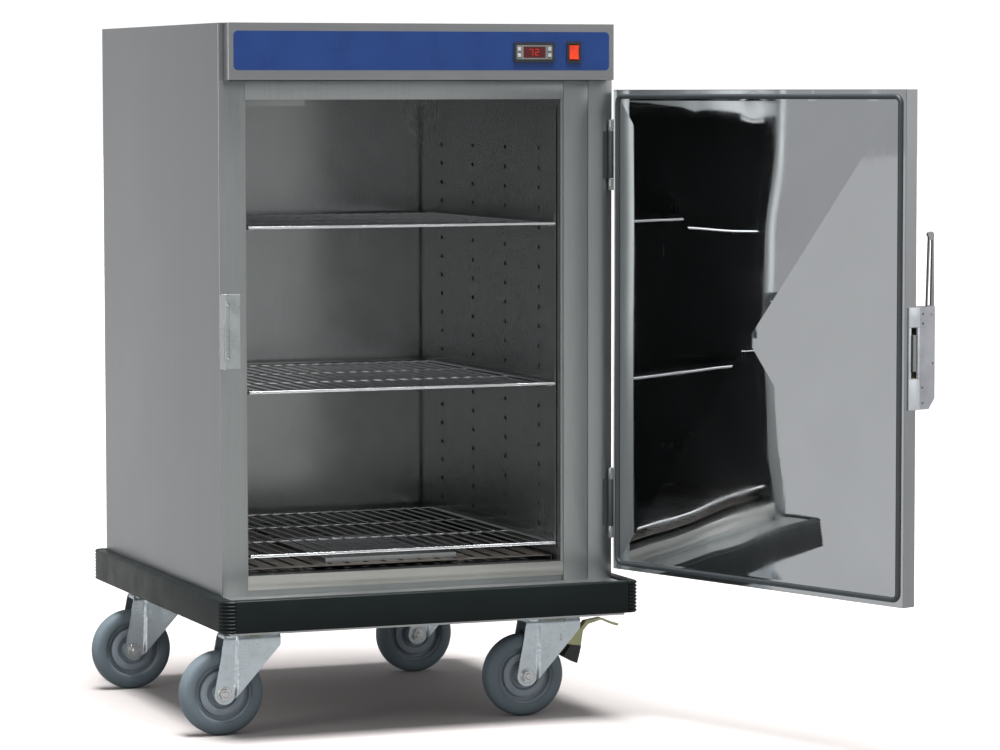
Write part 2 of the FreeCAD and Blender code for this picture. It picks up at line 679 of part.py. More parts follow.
def rack(label, wall, sheet_low, sheet_high, runner_in, runner_out):
    """A slotted sheet on standoffs, with three angle runners; every part is a separate solid."""
    along = ("rack_front", "rack_back")
    sheet = box(f"{label}_sheet", (sheet_low, sheet_high), along, ("rack_low", "rack_high"))
    slots = []
    across = (f"{sheet_low} - 1", f"{sheet_high} + 1")
    for column in range(RACK_COLUMNS):
        start = f"rack_front + slot_start + {column} * slot_spacing"
        for row in range(1, RACK_ROWS + 1):
            low = f"rack_low + {row} * slot_pitch"
            up = (low, f"{low} + slot_height")
            name = f"{label}_slot_{column}_{row}"
            slots.append(box(name, across, (start, f"{start} + slot_depth"), up))
    slotted = cut(f"{label}_slotted", sheet, slots)
    standoffs = []
    for depth in ("rack_front + 12", "rack_back - 12"):
        for up in ("rack_low + 12", "rack_high - 12"):
            name = f"{label}_standoff_{len(standoffs)}"
            standoffs.append(cylinder(name, "5", "rack_standoff", (wall, depth, up), "x"))
    runners = []
    for level in range(3):
        top = f"shelf_low + {level} * shelf_step - rod_radius - shelf_clearance"
        height = (f"{top} - 1.5", f"{top} + runner_height")
        upright = box(f"{label}_upright_{level}", runner_in, along, height)
        flange = box(f"{label}_flange_{level}", runner_out, along, (f"{top} - 1.5", top))
        runners.append(fuse(f"{label}_runner_{level}", [upright, flange]))
    add_node(label, group(label, [slotted] + standoffs + runners))


def make_racks():
    left = "cavity_left + rack_standoff"
    right = "cavity_right - rack_standoff"
    rack(
        "rack_left",
        "cavity_left",
        left,
        f"{left} + rack_sheet",
        (f"{left} + rack_sheet", f"{left} + 2 * rack_sheet"),
        (f"{left} + rack_sheet", f"{left} + rack_sheet + runner_width"),
    )
    rack(
        "rack_right",
        right,
        f"{right} - rack_sheet",
        right,
        (f"{right} - 2 * rack_sheet", f"{right} - rack_sheet"),
        (f"{right} - rack_sheet - runner_width", f"{right} - rack_sheet"),
    )


def make_shelf(label, level):
    """A wire shelf: four border rods, two cross rods and a row of front-to-back wires."""
    middle = "(cavity_left + cavity_right) / 2"
    height = f"shelf_low + {level} * shelf_step"
    low_side = f"{middle} - shelf_half"
    high_side = f"{middle} + shelf_half"
    back = "shelf_front + shelf_depth"
    end_length = "2 * shelf_half + 2 * rod_radius"
    rods = []
    for along in ("shelf_front", back):
        start = (f"{low_side} - rod_radius", along, height)
        rods.append(cylinder(f"{label}_end_{len(rods)}", "rod_radius", end_length, start, "x"))
    for across in (low_side, high_side):
        start = (across, "shelf_front", height)
        name = f"{label}_side_{len(rods)}"
        rods.append(cylinder(name, "rod_radius", "shelf_depth", start, "y"))
    cross_height = f"{height} - wire_radius / 2"
    for share in (1, 2):
        start = (low_side, f"shelf_front + shelf_depth * {share} / 3", cross_height)
        name = f"{label}_cross_{share}"
        rods.append(cylinder(name, "cross_radius", "2 * shelf_half", start, "x"))
    for number in range(-11, 12):
        start = (f"{middle} + {number} * wire_pitch", "shelf_front", f"{height} + wire_radius")
        name = f"{label}_wire_{number + 11}"
        rods.append(cylinder(name, "wire_radius", "shelf_depth", start, "y"))
    add_node(label, fuse(label, rods))


def make_floor():
    """The slotted cover on its feet, the element under it, the water tray on it and the probe."""
    across = ("cover_left", "cover_right")
    along = ("cover_front", "cover_back")
    sheet = box("cover_sheet", across, along, ("cover_top - skin", "cover_top"))
    slots = []
    for row in range(4):
        front = f"cover_front + 20 + {row} * 155"
        for column in range(16):
            left = f"cover_left + 22 + {column} * 34"
            up = ("cover_top - 3", "cover_top + 1")
            name = f"cover_slot_{row}_{column}"
            slots.append(box(name, (left, f"{left} + 9"), (front, f"{front} + 135"), up))
    foot_up = ("cavity_floor", "cover_top - skin / 2")
    feet = [
        box("cover_foot_left", ("cover_left", "cover_left + skin"), along, foot_up),
        box("cover_foot_right", ("cover_right - skin", "cover_right"), along, foot_up),
    ]
    cover = fuse("element_cover", [cut("cover_slotted", sheet, slots)] + feet)
    add_node("element_cover", cover)
    make_element()
    make_tray()
    make_probe()


def make_element():
    """A tubular element in five runs, joined at alternate ends."""
    middle = "(cavity_left + cavity_right) / 2"
    parts = []
    for run in range(-2, 3):
        across = f"{middle} + {run} * element_pitch"
        place = (across, "element_front", "element_height")
        length = "element_back - element_front"
        parts.append(cylinder(f"element_run_{run + 2}", "element_radius", length, place, "y"))
        for end in ("element_front", "element_back"):
            ball = doc.addObject("Part::Sphere", f"element_corner_{len(parts)}")
            bind(ball, "Radius", "element_radius")
            places = (from_left(across), from_front(end), from_base("element_height"))
            for direction, place in zip("xyz", places):
                bind(ball, f"Placement.Base.{direction}", place)
            parts.append(ball)
    for link in range(-2, 2):
        depth = "element_front" if link % 2 else "element_back"
        place = (f"{middle} + {link} * element_pitch", depth, "element_height")
        name = f"element_link_{link + 2}"
        parts.append(cylinder(name, "element_radius", "element_pitch", place, "x"))
    add_node("heating_element", fuse("heating_element", parts))


def make_tray():
    """The shallow water tray that stands on the element cover."""
    bottom = "cover_top + shelf_clearance"
    across = ("tray_left", "tray_right")
    along = ("tray_front", "tray_back")
    outer = box("tray_outer", across, along, (bottom, f"{bottom} + tray_height"))
    inner = box(
        "tray_inner",
        ("tray_left + skin", "tray_right - skin"),
        ("tray_front + skin", "tray_back - skin"),
        (f"{bottom} + skin", f"{bottom} + tray_height + 1"),
    )
    add_node("water_tray", cut("water_tray", outer, [inner]))


def make_probe():
    """The air probe: a thin rod under the roof, inside a long angle guard at the front left."""
    top = "cavity_roof - 0.2"
    left = "cavity_left + 2"
    across = (left, f"{left} + probe_length")
    lip = box("probe_lip", across, ("probe_front", "probe_front + skin"), ("cavity_roof - 11", top))
    depth = ("probe_front", "probe_front + 25")
    shelf = box("probe_shelf", across, depth, ("cavity_roof - 1.4", top))
    rod_start = (f"{left} + 10", "probe_front + 13", "cavity_roof - 6")
    rod = cylinder("probe_rod", "3", "probe_length - 20", rod_start, "x")
    clip_across = (f"{left} + probe_length / 2", f"{left} + probe_length / 2 + 6")
    clip_depth = ("probe_front + 9", "probe_front + 17")
    clip = box("probe_clip", clip_across, clip_depth, ("cavity_roof - 10", top))
    add_node("temperature_probe", fuse("temperature_probe", [lip, shelf, rod, clip]))


# Control fascia


def make_fascia():
    left = "fascia_inset"
    right = "carcass_width - fascia_inset"
    front = "-fascia_depth"
    up = ("fascia_low", "carcass_height")
    outer = rounded_block("fascia_outer", (left, right), (front, "0"), up, "z", "fascia_radius")
    hollow_up = ("fascia_low + skin", "carcass_height - skin")
    hollow_across = (f"{left} + skin", f"{right} - skin")
    hollow = box("fascia_hollow", hollow_across, (f"{front} + skin", "1"), hollow_up)
    holes = control_holes("fascia", f"{front} - 2", f"{front} + 3")
    add_node("control_fascia", cut("control_fascia", outer, [hollow] + holes))

    across = (f"{left} + overlay_border", f"{right} - overlay_border")
    face = f"{front} - overlay_thickness"
    up = ("overlay_low", "overlay_high")
    film = rounded_block("overlay_film", across, (face, front), up, "y", "overlay_radius")
    holes = control_holes("overlay", f"{face} - 1", "0")
    add_node("fascia_overlay", cut("fascia_overlay", film, holes))
    make_controller(face)
    make_rocker(face)


def control_block(name, centre, width, height, low, high):
    """A block centred on a control's place, between two depths."""
    across = (f"{centre} - ({width}) / 2", f"{centre} + ({width}) / 2")
    up = (f"control_z - ({height}) / 2", f"control_z + ({height}) / 2")
    return box(name, across, (low, high), up)


def control_holes(name, low, high):
    """The holes that the controller's body and the rocker's sleeve go through."""
    sleeve = ("rocker_sleeve_width + control_gap", "rocker_sleeve_height + control_gap")
    body = ("body_width + control_gap", "body_height + control_gap")
    return [
        control_block(f"{name}_body_hole", "controller_x", *body, low, high),
        control_block(f"{name}_rocker_hole", "rocker_x", *sleeve, low, high),
    ]


def make_controller(face):
    """A panel controller: bezel and body, display window and four push buttons."""
    nose = f"{face} - bezel_depth"
    across = ("controller_x - bezel_width / 2", "controller_x + bezel_width / 2")
    up = ("control_z - bezel_height / 2", "control_z + bezel_height / 2")
    bezel = rounded_block("controller_bezel", across, (nose, face), up, "y", "2")
    body_size = ("body_width", "body_height")
    body_depth = (f"{face} - 1", f"{face} + body_depth")
    body = control_block("controller_body", "controller_x", *body_size, *body_depth)
    window_size = ("window_width", "window_height")
    recess_depth = (f"{nose} - 1", f"{nose} + 1")
    recess = control_block("display_recess", "controller_x", *window_size, *recess_depth)
    pockets = []
    buttons = []
    for side in (-1, 1):
        for level in (-1, 1):
            number = len(buttons) + 1
            place = (f"controller_x + {side} * button_x", f"control_z + {level} * button_z")
            pocket = (*place, "button_size + 2 * button_gap", f"{nose} - 1", f"{nose} + 3.2")
            pockets.append(square_bar(f"button_pocket_{number}", *pocket))
            button = (*place, "button_size", f"{nose} - 1.2", f"{nose} + 2")
            buttons.append(square_bar(f"controller_button_{number}", *button))
    solid = fuse("controller_solid", [bezel, body])
    add_node("controller_housing", cut("controller_housing", solid, [recess] + pockets))
    window_depth = (f"{nose} + 0.2", f"{nose} + 1")
    window = control_block("display_window", "controller_x", *window_size, *window_depth)
    add_node("display_window", window)
    for number, button in enumerate(buttons, start=1):
        add_node(f"controller_button_{number}", button)


def square_bar(name, x, z, size, low, high):
    across = (f"{x} - ({size}) / 2", f"{x} + ({size}) / 2")
    return box(name, across, (low, high), (f"{z} - ({size}) / 2", f"{z} + ({size}) / 2"))


def make_rocker(face):
    """The illuminated mains rocker in its bezel; it tips about a level axis through its middle."""
    nose = f"{face} - 2.5"
    across = ("rocker_x - rocker_bezel_width / 2", "rocker_x + rocker_bezel_width / 2")
    up = ("control_z - rocker_bezel_height / 2", "control_z + rocker_bezel_height / 2")
    rim = rounded_block("rocker_rim", across, (nose, face), up, "y", "2")
    sleeve_size = ("rocker_sleeve_width", "rocker_sleeve_height")
    sleeve_depth = (f"{face} - 1", f"{face} + 20")
    sleeve = control_block("rocker_sleeve", "rocker_x", *sleeve_size, *sleeve_depth)
    hole_size = ("rocker_hole_width", "rocker_hole_height")
    hole_depth = (f"{nose} - 1", f"{face} + 18")
    hole = control_block("rocker_hole", "rocker_x", *hole_size, *hole_depth)
    add_node("rocker_bezel", cut("rocker_bezel", fuse("rocker_frame", [rim, sleeve]), [hole]))
    key_size = ("rocker_hole_width - 2 * rocker_gap", "rocker_hole_height - 2 * rocker_gap")
    key_depth = (f"{nose} - 1", f"{nose} - 1 + rocker_depth")
    key = control_block("rocker_key", "rocker_x", *key_size, *key_depth)
    add_node("rocker_switch", key)


# Door


def make_door():
    across = ("door_left", "door_right")
    depth = ("door_front", "door_back")
    up = ("door_low", "door_high")
    outer = rounded_block("pan_outer", across, depth, up, "z", "door_radius")
    inner_across = ("door_left + liner", "door_right - liner")
    inner_up = ("door_low + liner", "door_high - liner")
    hollow_depth = ("door_front + liner", "door_back + 1")
    hollow = box("pan_hollow", inner_across, hollow_depth, inner_up)
    window_up = ("window_low", "window_high")
    window_depth = ("window_front", "window_back")
    window = box("pan_window", ("door_left - 3", "door_left + 3"), window_depth, window_up)
    add_door_node("door_outer_pan", cut("door_outer_pan", outer, [hollow, window]))
    # The inner panel is a flat sheet whose middle is broken out into a very low pyramid.
    panel = box("inner_panel", inner_across, ("door_back - liner", "door_back"), inner_up)
    raised = pyramid("panel_raised", "door_back - liner", "door_back + panel_rise")
    relief = pyramid("panel_relief", "door_back - 2 * liner", "door_back + panel_rise - liner")
    broken = cut("broken_panel", fuse("panel_solid", [panel, raised]), [relief])
    add_door_node("door_inner_panel", group("door_inner_panel", [broken]))
    gap = "insulation_gap"
    core_across = (f"door_left + liner + {gap}", f"door_right - liner - {gap}")
    core_depth = (f"door_front + liner + {gap}", f"door_back - liner - {gap}")
    core_up = (f"door_low + liner + {gap}", f"door_high - liner - {gap}")
    core = box("core_slab", core_across, core_depth, core_up)
    pocket_across = ("door_left", "pocket_right")
    pocket = box("core_pocket", pocket_across, ("door_front", "door_back"), window_up)
    add_door_node("door_core", cut("door_core", core, [pocket]))
    make_gasket()
    make_latch(window_depth, window_up)


def pyramid(name, base, apex):
    """A low pyramid over the inner panel's middle, inside the gasket, pointing at the cavity."""
    wedge = doc.addObject("Part::Wedge", name)
    inset = "(gasket_inset + gasket_width + 2)"
    spans = {
        "X": (from_left("door_left"), from_left("door_right")),
        "Z": (from_base("door_low"), from_base("door_high")),
    }
    for axis, (low, high) in spans.items():
        bind(wedge, f"{axis}min", f"{low} + {inset}")
        bind(wedge, f"{axis}max", f"{high} - {inset}")
        bind(wedge, f"{axis.upper()}2min", f"({low} + {high}) / 2 - 0.5")
        bind(wedge, f"{axis.upper()}2max", f"({low} + {high}) / 2 + 0.5")
    bind(wedge, "Ymin", from_front(base))
    bind(wedge, "Ymax", from_front(apex))
    return wedge


def make_gasket():
    """A rubber ring on the inner face, set in from the door's edge."""
    top = "door_back + gasket_height"
    inset = "gasket_inset"
    outer_across = (f"door_left + {inset}", f"door_right - {inset}")
    outer_up = (f"door_low + {inset}", f"door_high - {inset}")
    depth = ("door_back", top)
    ring = rounded_block("gasket_outer", outer_across, depth, outer_up, "y", "gasket_radius")
    inset = "gasket_inset + gasket_width"
    inner_across = (f"door_left + {inset}", f"door_right - ({inset})")
    inner_up = (f"door_low + {inset}", f"door_high - ({inset})")
    depth = ("door_back - 1", f"{top} + 1")
    inner_radius = "gasket_radius - gasket_width"
    bore = rounded_block("gasket_inner", inner_across, depth, inner_up, "y", inner_radius)
    add_door_node("door_gasket", cut("door_gasket", ring, [bore]))


def make_latch(window_depth, window_up):
    up = ("latch_low", "latch_high")
    plate_depth = ("bracket_front", "bracket_back")
    plate = box("bracket_plate", ("latch_left", "door_left"), plate_depth, up)
    window = box("bracket_window", ("latch_left - 1", "door_left + 1"), window_depth, window_up)
    add_door_node("latch_bracket", cut("latch_bracket", plate, [window]))

    # The body stands on the outer face; its lower outer corner is cut off and its top is open
    # round the lever's hub.
    outline = [
        ("door_front", "latch_low"),
        ("door_front", "latch_high"),
        ("latch_front", "latch_high"),
        ("latch_front", "latch_low + 18"),
        ("latch_front + 14", "latch_low"),
    ]
    moved = [(from_front(first), from_base(second)) for first, second in outline]
    solid, feature = pad("latch_solid", "x", moved, "latch_right - door_left")
    bind(solid, "Placement.Base.x", from_left("door_left"))
    well_across = ("lever_x - 0.5", "lever_x + lever_width + 0.5")
    well_depth = ("latch_front - 1", "door_front - 8")
    well = box("latch_well", well_across, well_depth, ("lever_z - lever_hub - 6", "latch_high + 1"))
    bore_start = ("latch_left", "lever_y", "lever_z")
    pin_bore = cylinder("latch_pin_bore", "lever_pin", "latch_right", bore_start, "x")
    body = cut("latch_shell", solid, [well, pin_bore])
    pin_start = ("door_left + 1", "lever_y", "lever_z")
    pin = cylinder("latch_pin", "lever_pin", "latch_right - door_left - 2", pin_start, "x")
    add_door_node("latch_body", group("latch_body", [body, pin]))
    make_lever()

    tongue_across = ("tongue_tip", "tongue_tail")
    tongue = box("tongue_bar", tongue_across, ("tongue_front", "tongue_back"), ("tongue_low", "tongue_high"))
    add_door_node("latch_tongue", group("latch_tongue", [tongue]))


def make_lever():
    """A tall narrow hairpin on a hub, with a thick outer leg, a thin inner one and a hooked tip."""
    outer = [
        ("lever_y - 9", "lever_z"),
        ("lever_y + 9.5", "lever_z"),
        ("lever_y + 4.5", "lever_top - 7"),
        ("lever_y - 7", "lever_top - 7"),
    ]
    inner = [
        ("lever_y - 1.5", "lever_z + 16"),
        ("lever_y + 7", "lever_z + 16"),
        ("lever_y + 2", "lever_top - 14"),
        ("lever_y - 4", "lever_top - 14"),
    ]
    strip = []
    for name, corners, start, length in (
        ("lever_outer", outer, "lever_x", "lever_width"),
        ("lever_inner", inner, "lever_x - 1", "lever_width + 2"),
    ):
        moved = [(from_front(first), from_base(second)) for first, second in corners]
        body, feature = pad(name, "x", moved, length)
        bind(body, "Placement.Base.x", from_left(start))
        strip.append(body)
    tip = cylinder("lever_tip", "6.6", "lever_width", ("lever_x", "lever_y - 1.5", "lever_top - 6.6"), "x")
    hub = cylinder("lever_hub_disc", "lever_hub", "lever_width", ("lever_x", "lever_y", "lever_z"), "x")
    bore_start = ("lever_x - 1", "lever_y", "lever_z")
    bore = cylinder("lever_bore", "lever_pin + pin_fit", "lever_width + 2", bore_start, "x")
    hook = cylinder("lever_hook", "4", "lever_width", ("lever_x", "lever_y + 3.5", "lever_top - 5"), "x")
    blank = fuse("lever_blank", [strip[0], tip, hook, hub])
    add_door_node("latch_lever", cut("latch_lever", blank, [strip[1], bore]))


def make_keeper():
    """An angle on the left stile: a plate, and a lip with the slot that takes the tongue."""
    up = ("keeper_low", "keeper_high")
    plate = box("keeper_plate", ("keeper_left", "keeper_right"), ("-keeper_sheet", "0"), up)
    lip_across = ("keeper_left", "keeper_left + keeper_sheet")
    lip = box("keeper_lip", lip_across, ("keeper_front", "-keeper_sheet / 2"), up)
    gap = "keeper_slot_gap"
    slot = box(
        "keeper_slot",
        ("keeper_left - 1", "keeper_left + keeper_sheet + 1"),
        (f"tongue_front - {gap}", f"tongue_back + {gap}"),
        (f"tongue_low - {gap}", f"tongue_high + {gap}"),
    )
    holes = keeper_screws("keeper_hole", "screw_hole_radius", 1)
    angle = fuse("keeper_angle", [plate, lip])
    add_node("latch_keeper", cut("latch_keeper", angle, [slot] + holes))


def keeper_screws(name, radius, extra):
    """Level cylinders at the keeper's two screws; extra lengthens them at both ends."""
    screws = []
    for height in ("keeper_low + 21", "keeper_high - 16"):
        base = ("keeper_screw_x", f"-keeper_sheet - {extra}", height)
        length = f"keeper_sheet + 2 * {extra}"
        screws.append(cylinder(f"{name}_{len(screws)}", radius, length, base, "y"))
    return screws


def make_hinges():
    """Each hinge has a long middle knuckle on the frame, two short ones on the door, and a pin."""
    frame_parts = []
    door_parts = []
    axis = ("hinge_x", "hinge_y")
    for number, centre in enumerate(("hinge_low", "hinge_high")):
        name = f"hinge_{number}"
        low = f"{centre} - knuckle_half"
        bore_base = (*axis, f"{centre} - hinge_half - 1")
        bore_length = "2 * hinge_half + 2"
        middle = cylinder(f"{name}_middle", "knuckle_radius", "2 * knuckle_half", (*axis, low))
        leaf_up = (low, f"{centre} + knuckle_half")
        leaf = box(f"{name}_leaf", ("leaf_left", "hinge_x"), ("-2.5", "0"), leaf_up)
        bore = cylinder(f"{name}_bore", "pin_radius", bore_length, bore_base)
        pin_base = (*axis, f"{centre} - hinge_half")
        pin = cylinder(f"{name}_pin", "pin_radius", "2 * hinge_half", pin_base)
        frame_solid = fuse(f"{name}_frame_solid", [middle, leaf])
        frame_parts.append(cut(f"{name}_frame", frame_solid, [bore]))
        frame_parts.append(pin)
        door_bore = cylinder(f"{name}_door_bore", "pin_radius + pin_fit", bore_length, bore_base)
        short = "hinge_half - knuckle_half - hinge_gap"
        starts = {
            "low": f"{centre} - hinge_half",
            "high": f"{centre} + knuckle_half + hinge_gap",
        }
        for end, start in starts.items():
            up = (start, f"{start} + {short}")
            knuckle = cylinder(f"{name}_{end}", "knuckle_radius", short, (*axis, start))
            wing_across = ("door_right", "door_right + wing_sheet")
            wing = box(f"{name}_{end}_wing", wing_across, ("door_front + 4", "hinge_y + 2"), up)
            arm_across = ("door_right + 1", "hinge_x")
            arm = box(f"{name}_{end}_arm", arm_across, ("hinge_y - 6", "hinge_y - 3.5"), up)
            solid = fuse(f"{name}_{end}_solid", [knuckle, wing, arm])
            door_parts.append(cut(f"{name}_{end}_leaf", solid, [door_bore]))
    add_node("hinge_frame_leaves", group("hinge_frame_leaves", frame_parts))
    add_door_node("hinge_door_leaves", group("hinge_door_leaves", door_parts))


def make_screws():
    """Countersunk screws in the top panel and the keeper, and dome heads on the back panel."""
    heads = top_screws("top_screw", "screw_head_radius", 0)
    heads += keeper_screws("keeper_screw", "screw_head_radius", 0)
    for across in ("screw_edge", "carcass_width - screw_edge"):
        for share in BACK_SCREW_SHARES:
            place = (across, "carcass_depth", f"carcass_height * {share}")
            name = f"back_screw_{len(heads)}"
            heads.append(cylinder(name, "screw_head_radius", "dome_height", place, "y"))
    add_node("cabinet_screws", group("cabinet_screws", heads))


# Castors


def place_castor(label, thing, across, along):
    base = f"vector({from_left(across)}; {from_front(along)}; 0)"
    bind(thing, "Placement", f"placement({base}; rotation(vector(0; 0; 1); castor_turn))")
    return add_node(label, thing)


def castor_top(name):
    """The fixed half of a castor: top plate, race, king pin with its nut, and four bolt heads."""
    top = "castor_height"
    plate_across = ("-plate_half_x", "plate_half_x")
    plate_along = ("-plate_half_y", "plate_half_y")
    plate = box(f"{name}_plate", plate_across, plate_along, (f"{top} - 4", top), True)
    race_base = ("0", "0", "fork_crown_high + pin_gap")
    race_height = f"{top} - 3 - fork_crown_high - pin_gap"
    race = cylinder(f"{name}_race", "race_radius", race_height, race_base, "z", True)
    king_base = ("0", "0", "fork_crown_low - 6")
    king_height = f"{top} + 4 - fork_crown_low"
    king = cylinder(f"{name}_king", "king_radius", king_height, king_base, "z", True)
    nut = cylinder(f"{name}_nut", "king_radius + 5", "5.5", king_base, "z", True)
    parts = [plate, race, king, nut]
    for number, (x, y) in enumerate(((-1, -1), (1, -1), (-1, 1), (1, 1))):
        place = (f"{x} * bolt_x", f"{y} * bolt_y", f"{top} - 9")
        parts.append(cylinder(f"{name}_bolt_{number}", "bolt_head_radius", "6", place, "z", True))
    return fuse(f"{name}_top", parts)


def castor_fork(name, braked):
    """The pressed fork, with its legs narrowing to the axle, and the axle bolt through them."""
    width = "fork_gap + 2 * fork_sheet"
    outline = [
        ("-fork_back", "fork_crown_high"),
        ("-trail - fork_foot", "wheel_radius"),
        ("-trail", "wheel_radius - fork_foot * 0.9"),
        ("-trail + fork_foot * 0.63", "wheel_radius - fork_foot * 0.78"),
        ("fork_front", "fork_knee"),
        ("fork_front", "fork_crown_high"),
    ]
    blade, feature = pad(f"{name}_blade", "y", outline, width, middle=True)
    foot_start = ("-trail", f"-({width}) / 2", "wheel_radius")
    foot = cylinder(f"{name}_foot", "fork_foot", width, foot_start, "y", True)
    blank = fuse(f"{name}_blank", [blade, foot])
    gap_across = ("-trail - 60", "fork_front + 20")
    gap_along = ("-fork_gap / 2", "fork_gap / 2")
    gap = box(f"{name}_gap", gap_across, gap_along, ("20", "fork_crown_low"), True)
    king_start = ("0", "0", "fork_crown_low - 10")
    king_hole = cylinder(f"{name}_king_hole", "king_radius + pin_fit", "30", king_start, "z", True)
    axle_start = ("-trail", "-60", "wheel_radius")
    axle_hole = cylinder(f"{name}_axle_hole", "axle_radius", "120", axle_start, "y", True)
    openings = [gap, king_hole, axle_hole]
    if braked:
        brake_start = ("brake_x", "-60", "brake_z")
        brake_radius = "brake_pin + pin_fit"
        openings.append(cylinder(f"{name}_brake_hole", brake_radius, "120", brake_start, "y", True))
    fork = cut(f"{name}_pressing", blank, openings)
    axle = cylinder(f"{name}_axle", "axle_radius", width, foot_start, "y", True)
    low_end = ("-trail", f"-({width}) / 2 - 6", "wheel_radius")
    high_end = ("-trail", f"({width}) / 2", "wheel_radius")
    head = cylinder(f"{name}_head", "axle_head_radius", "6", low_end, "y", True)
    nut = cylinder(f"{name}_nut_end", "axle_head_radius", "8", high_end, "y", True)
    bolt = fuse(f"{name}_bolt", [axle, head, nut])
    return group(f"{name}_fork", [fork, bolt])


def wheel_parts(name):
    """Hub and tyre, both turned about the axle, placed at the axle."""
    hub = revolve(
        f"{name}_hub",
        [
            ("axle_radius + pin_fit", "-hub_width / 2"),
            ("boss_radius", "-hub_width / 2"),
            ("boss_radius + 4", "-web_width / 2"),
            ("rim_radius - 9", "-web_width / 2"),
            ("rim_radius - 6", "-tyre_width / 2 + 3"),
            ("rim_radius", "-tyre_width / 2 + 3"),
            ("rim_radius", "tyre_width / 2 - 3"),
            ("rim_radius - 6", "tyre_width / 2 - 3"),
            ("rim_radius - 9", "web_width / 2"),
            ("boss_radius + 4", "web_width / 2"),
            ("boss_radius", "hub_width / 2"),
            ("axle_radius + pin_fit", "hub_width / 2"),
        ],
    )
    tyre = revolve(
        f"{name}_tyre",
        [
            ("rim_radius", "-tyre_width / 2 + 2"),
            ("wheel_radius - 14", "-tyre_width / 2"),
            ("wheel_radius - 5", "-tyre_width / 2 + 1"),
            ("wheel_radius - 1.2", "-tyre_width / 2 + 6"),
            ("wheel_radius", "-tyre_width / 2 + 13"),
            ("wheel_radius", "tyre_width / 2 - 13"),
            ("wheel_radius - 1.2", "tyre_width / 2 - 6"),
            ("wheel_radius - 5", "tyre_width / 2 - 1"),
            ("wheel_radius - 14", "tyre_width / 2"),
            ("rim_radius", "tyre_width / 2 - 2"),
        ],
    )
    return hub, tyre


def place_wheel(label, thing, across, along):
    """A wheel's part, moved to its axle behind the swivel axis and turned with the castor."""
    base = f"vector({from_left(across)}; {from_front(along)}; 0)"
    castor = f"placement({base}; rotation(vector(0; 0; 1); castor_turn))"
    axle = "placement(vector(-trail; 0; wheel_radius); rotation(vector(0; 0; 1); 0))"
    bind(thing, "Placement", f"{castor} * {axle}")
    return add_node(label, thing)


def make_brake():
    """The brake of the front right castor: a pedal with its release tab on one pivot, and a pad."""
    width = "fork_gap + 2 * fork_sheet + 3"
    pivot_start = ("brake_x", f"-({width}) / 2", "brake_z")
    pivot = cylinder("brake_pivot", "brake_pin", width, pivot_start, "y", True)
    cam = cylinder("brake_cam", "2 * brake_pin", "30", ("brake_x", "-15", "brake_z"), "y", True)
    # The pedal slopes down to the pad, and the tab rises from its outer end and droops.
    arm_corners = [(0, -4), (22, -16), (44, -19), (48, 6), (40, 13), (0, 6)]
    tab_corners = [(38, 4), (47, 4), (60, 19), (86, 26), (112, 14.5), (119, 13)]
    tab_corners += [(120, 17.5), (114, 18.5), (87, 29.5), (56, 25)]
    pad_corners = [(22, -16), (8, -36), (36, -51), (44, -19)]
    arm = brake_piece("brake_arm", arm_corners, "26")
    tab = brake_piece("brake_tab", tab_corners, "18")
    pedal = fuse("brake_pedal", [pivot, cam, arm, tab])
    place_castor("brake_pedal", pedal, "castor_right", "castor_front")
    rubber = brake_piece("brake_rubber", pad_corners, "32")
    place_castor("brake_pad", rubber, "castor_right", "castor_front")


def brake_piece(name, corners, width):
    """A piece padded across the castor; its corners are measured from the brake's pivot."""
    moved = [(f"brake_x + {x}", f"brake_z + ({z})") for x, z in corners]
    body, feature = pad(name, "y", moved, width, middle=True)
    return body


def make_castors():
    tops = []
    for end, along in (("front", "castor_front"), ("back", "castor_back")):
        for side, across in (("left", "castor_left"), ("right", "castor_right")):
            name = f"castor_{end}_{side}"
            top = castor_top(name)
            bind(top, "Placement.Base.x", from_left(across))
            bind(top, "Placement.Base.y", from_front(along))
            tops.append(top)
            braked = (end, side) == ("front", "right")
            place_castor(f"fork_{end}_{side}", castor_fork(name, braked), across, along)
            hub, tyre = wheel_parts(name)
            place_wheel(f"hub_{end}_{side}", hub, across, along)
            place_wheel(f"tyre_{end}_{side}", tyre, across, along)
    add_node("castor_plates", group("castor_plates", tops))
    make_brake()


def check_document():
    """Stop on any object that failed, and on any sub-part without a valid shape."""
    for thing in doc.Objects:
        if {"Invalid", "Error"} & set(thing.State):
            raise SystemExit(f"{thing.Name} failed: {thing.State}")
    for node in nodes:
        if node.Shape.isNull() or not node.Shape.isValid():
            raise SystemExit(f"{node.Label} has no valid shape")


def main():
    make_sheet()
    make_casing()
    make_front_frame()
    make_liner()
    make_insulation()
    make_control_tray()
    make_base()
    make_bumper()
    make_racks()
    for level, label in enumerate(("shelf_bottom", "shelf_middle", "shelf_top")):
        make_shelf(label, level)
    make_floor()
    make_fascia()
    make_door()
    make_keeper()
    make_hinges()
    make_screws()
    make_castors()
    doc.recompute()
    check_document()
    os.makedirs("parts", exist_ok=True)
    for node in nodes:
        node.Shape.exportStep(f"parts/{node.Label}.step")
    print(len(nodes), "sub-parts written")


main()
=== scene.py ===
import json
import math

import bmesh
import bpy
from mathutils import Matrix, Vector, noise


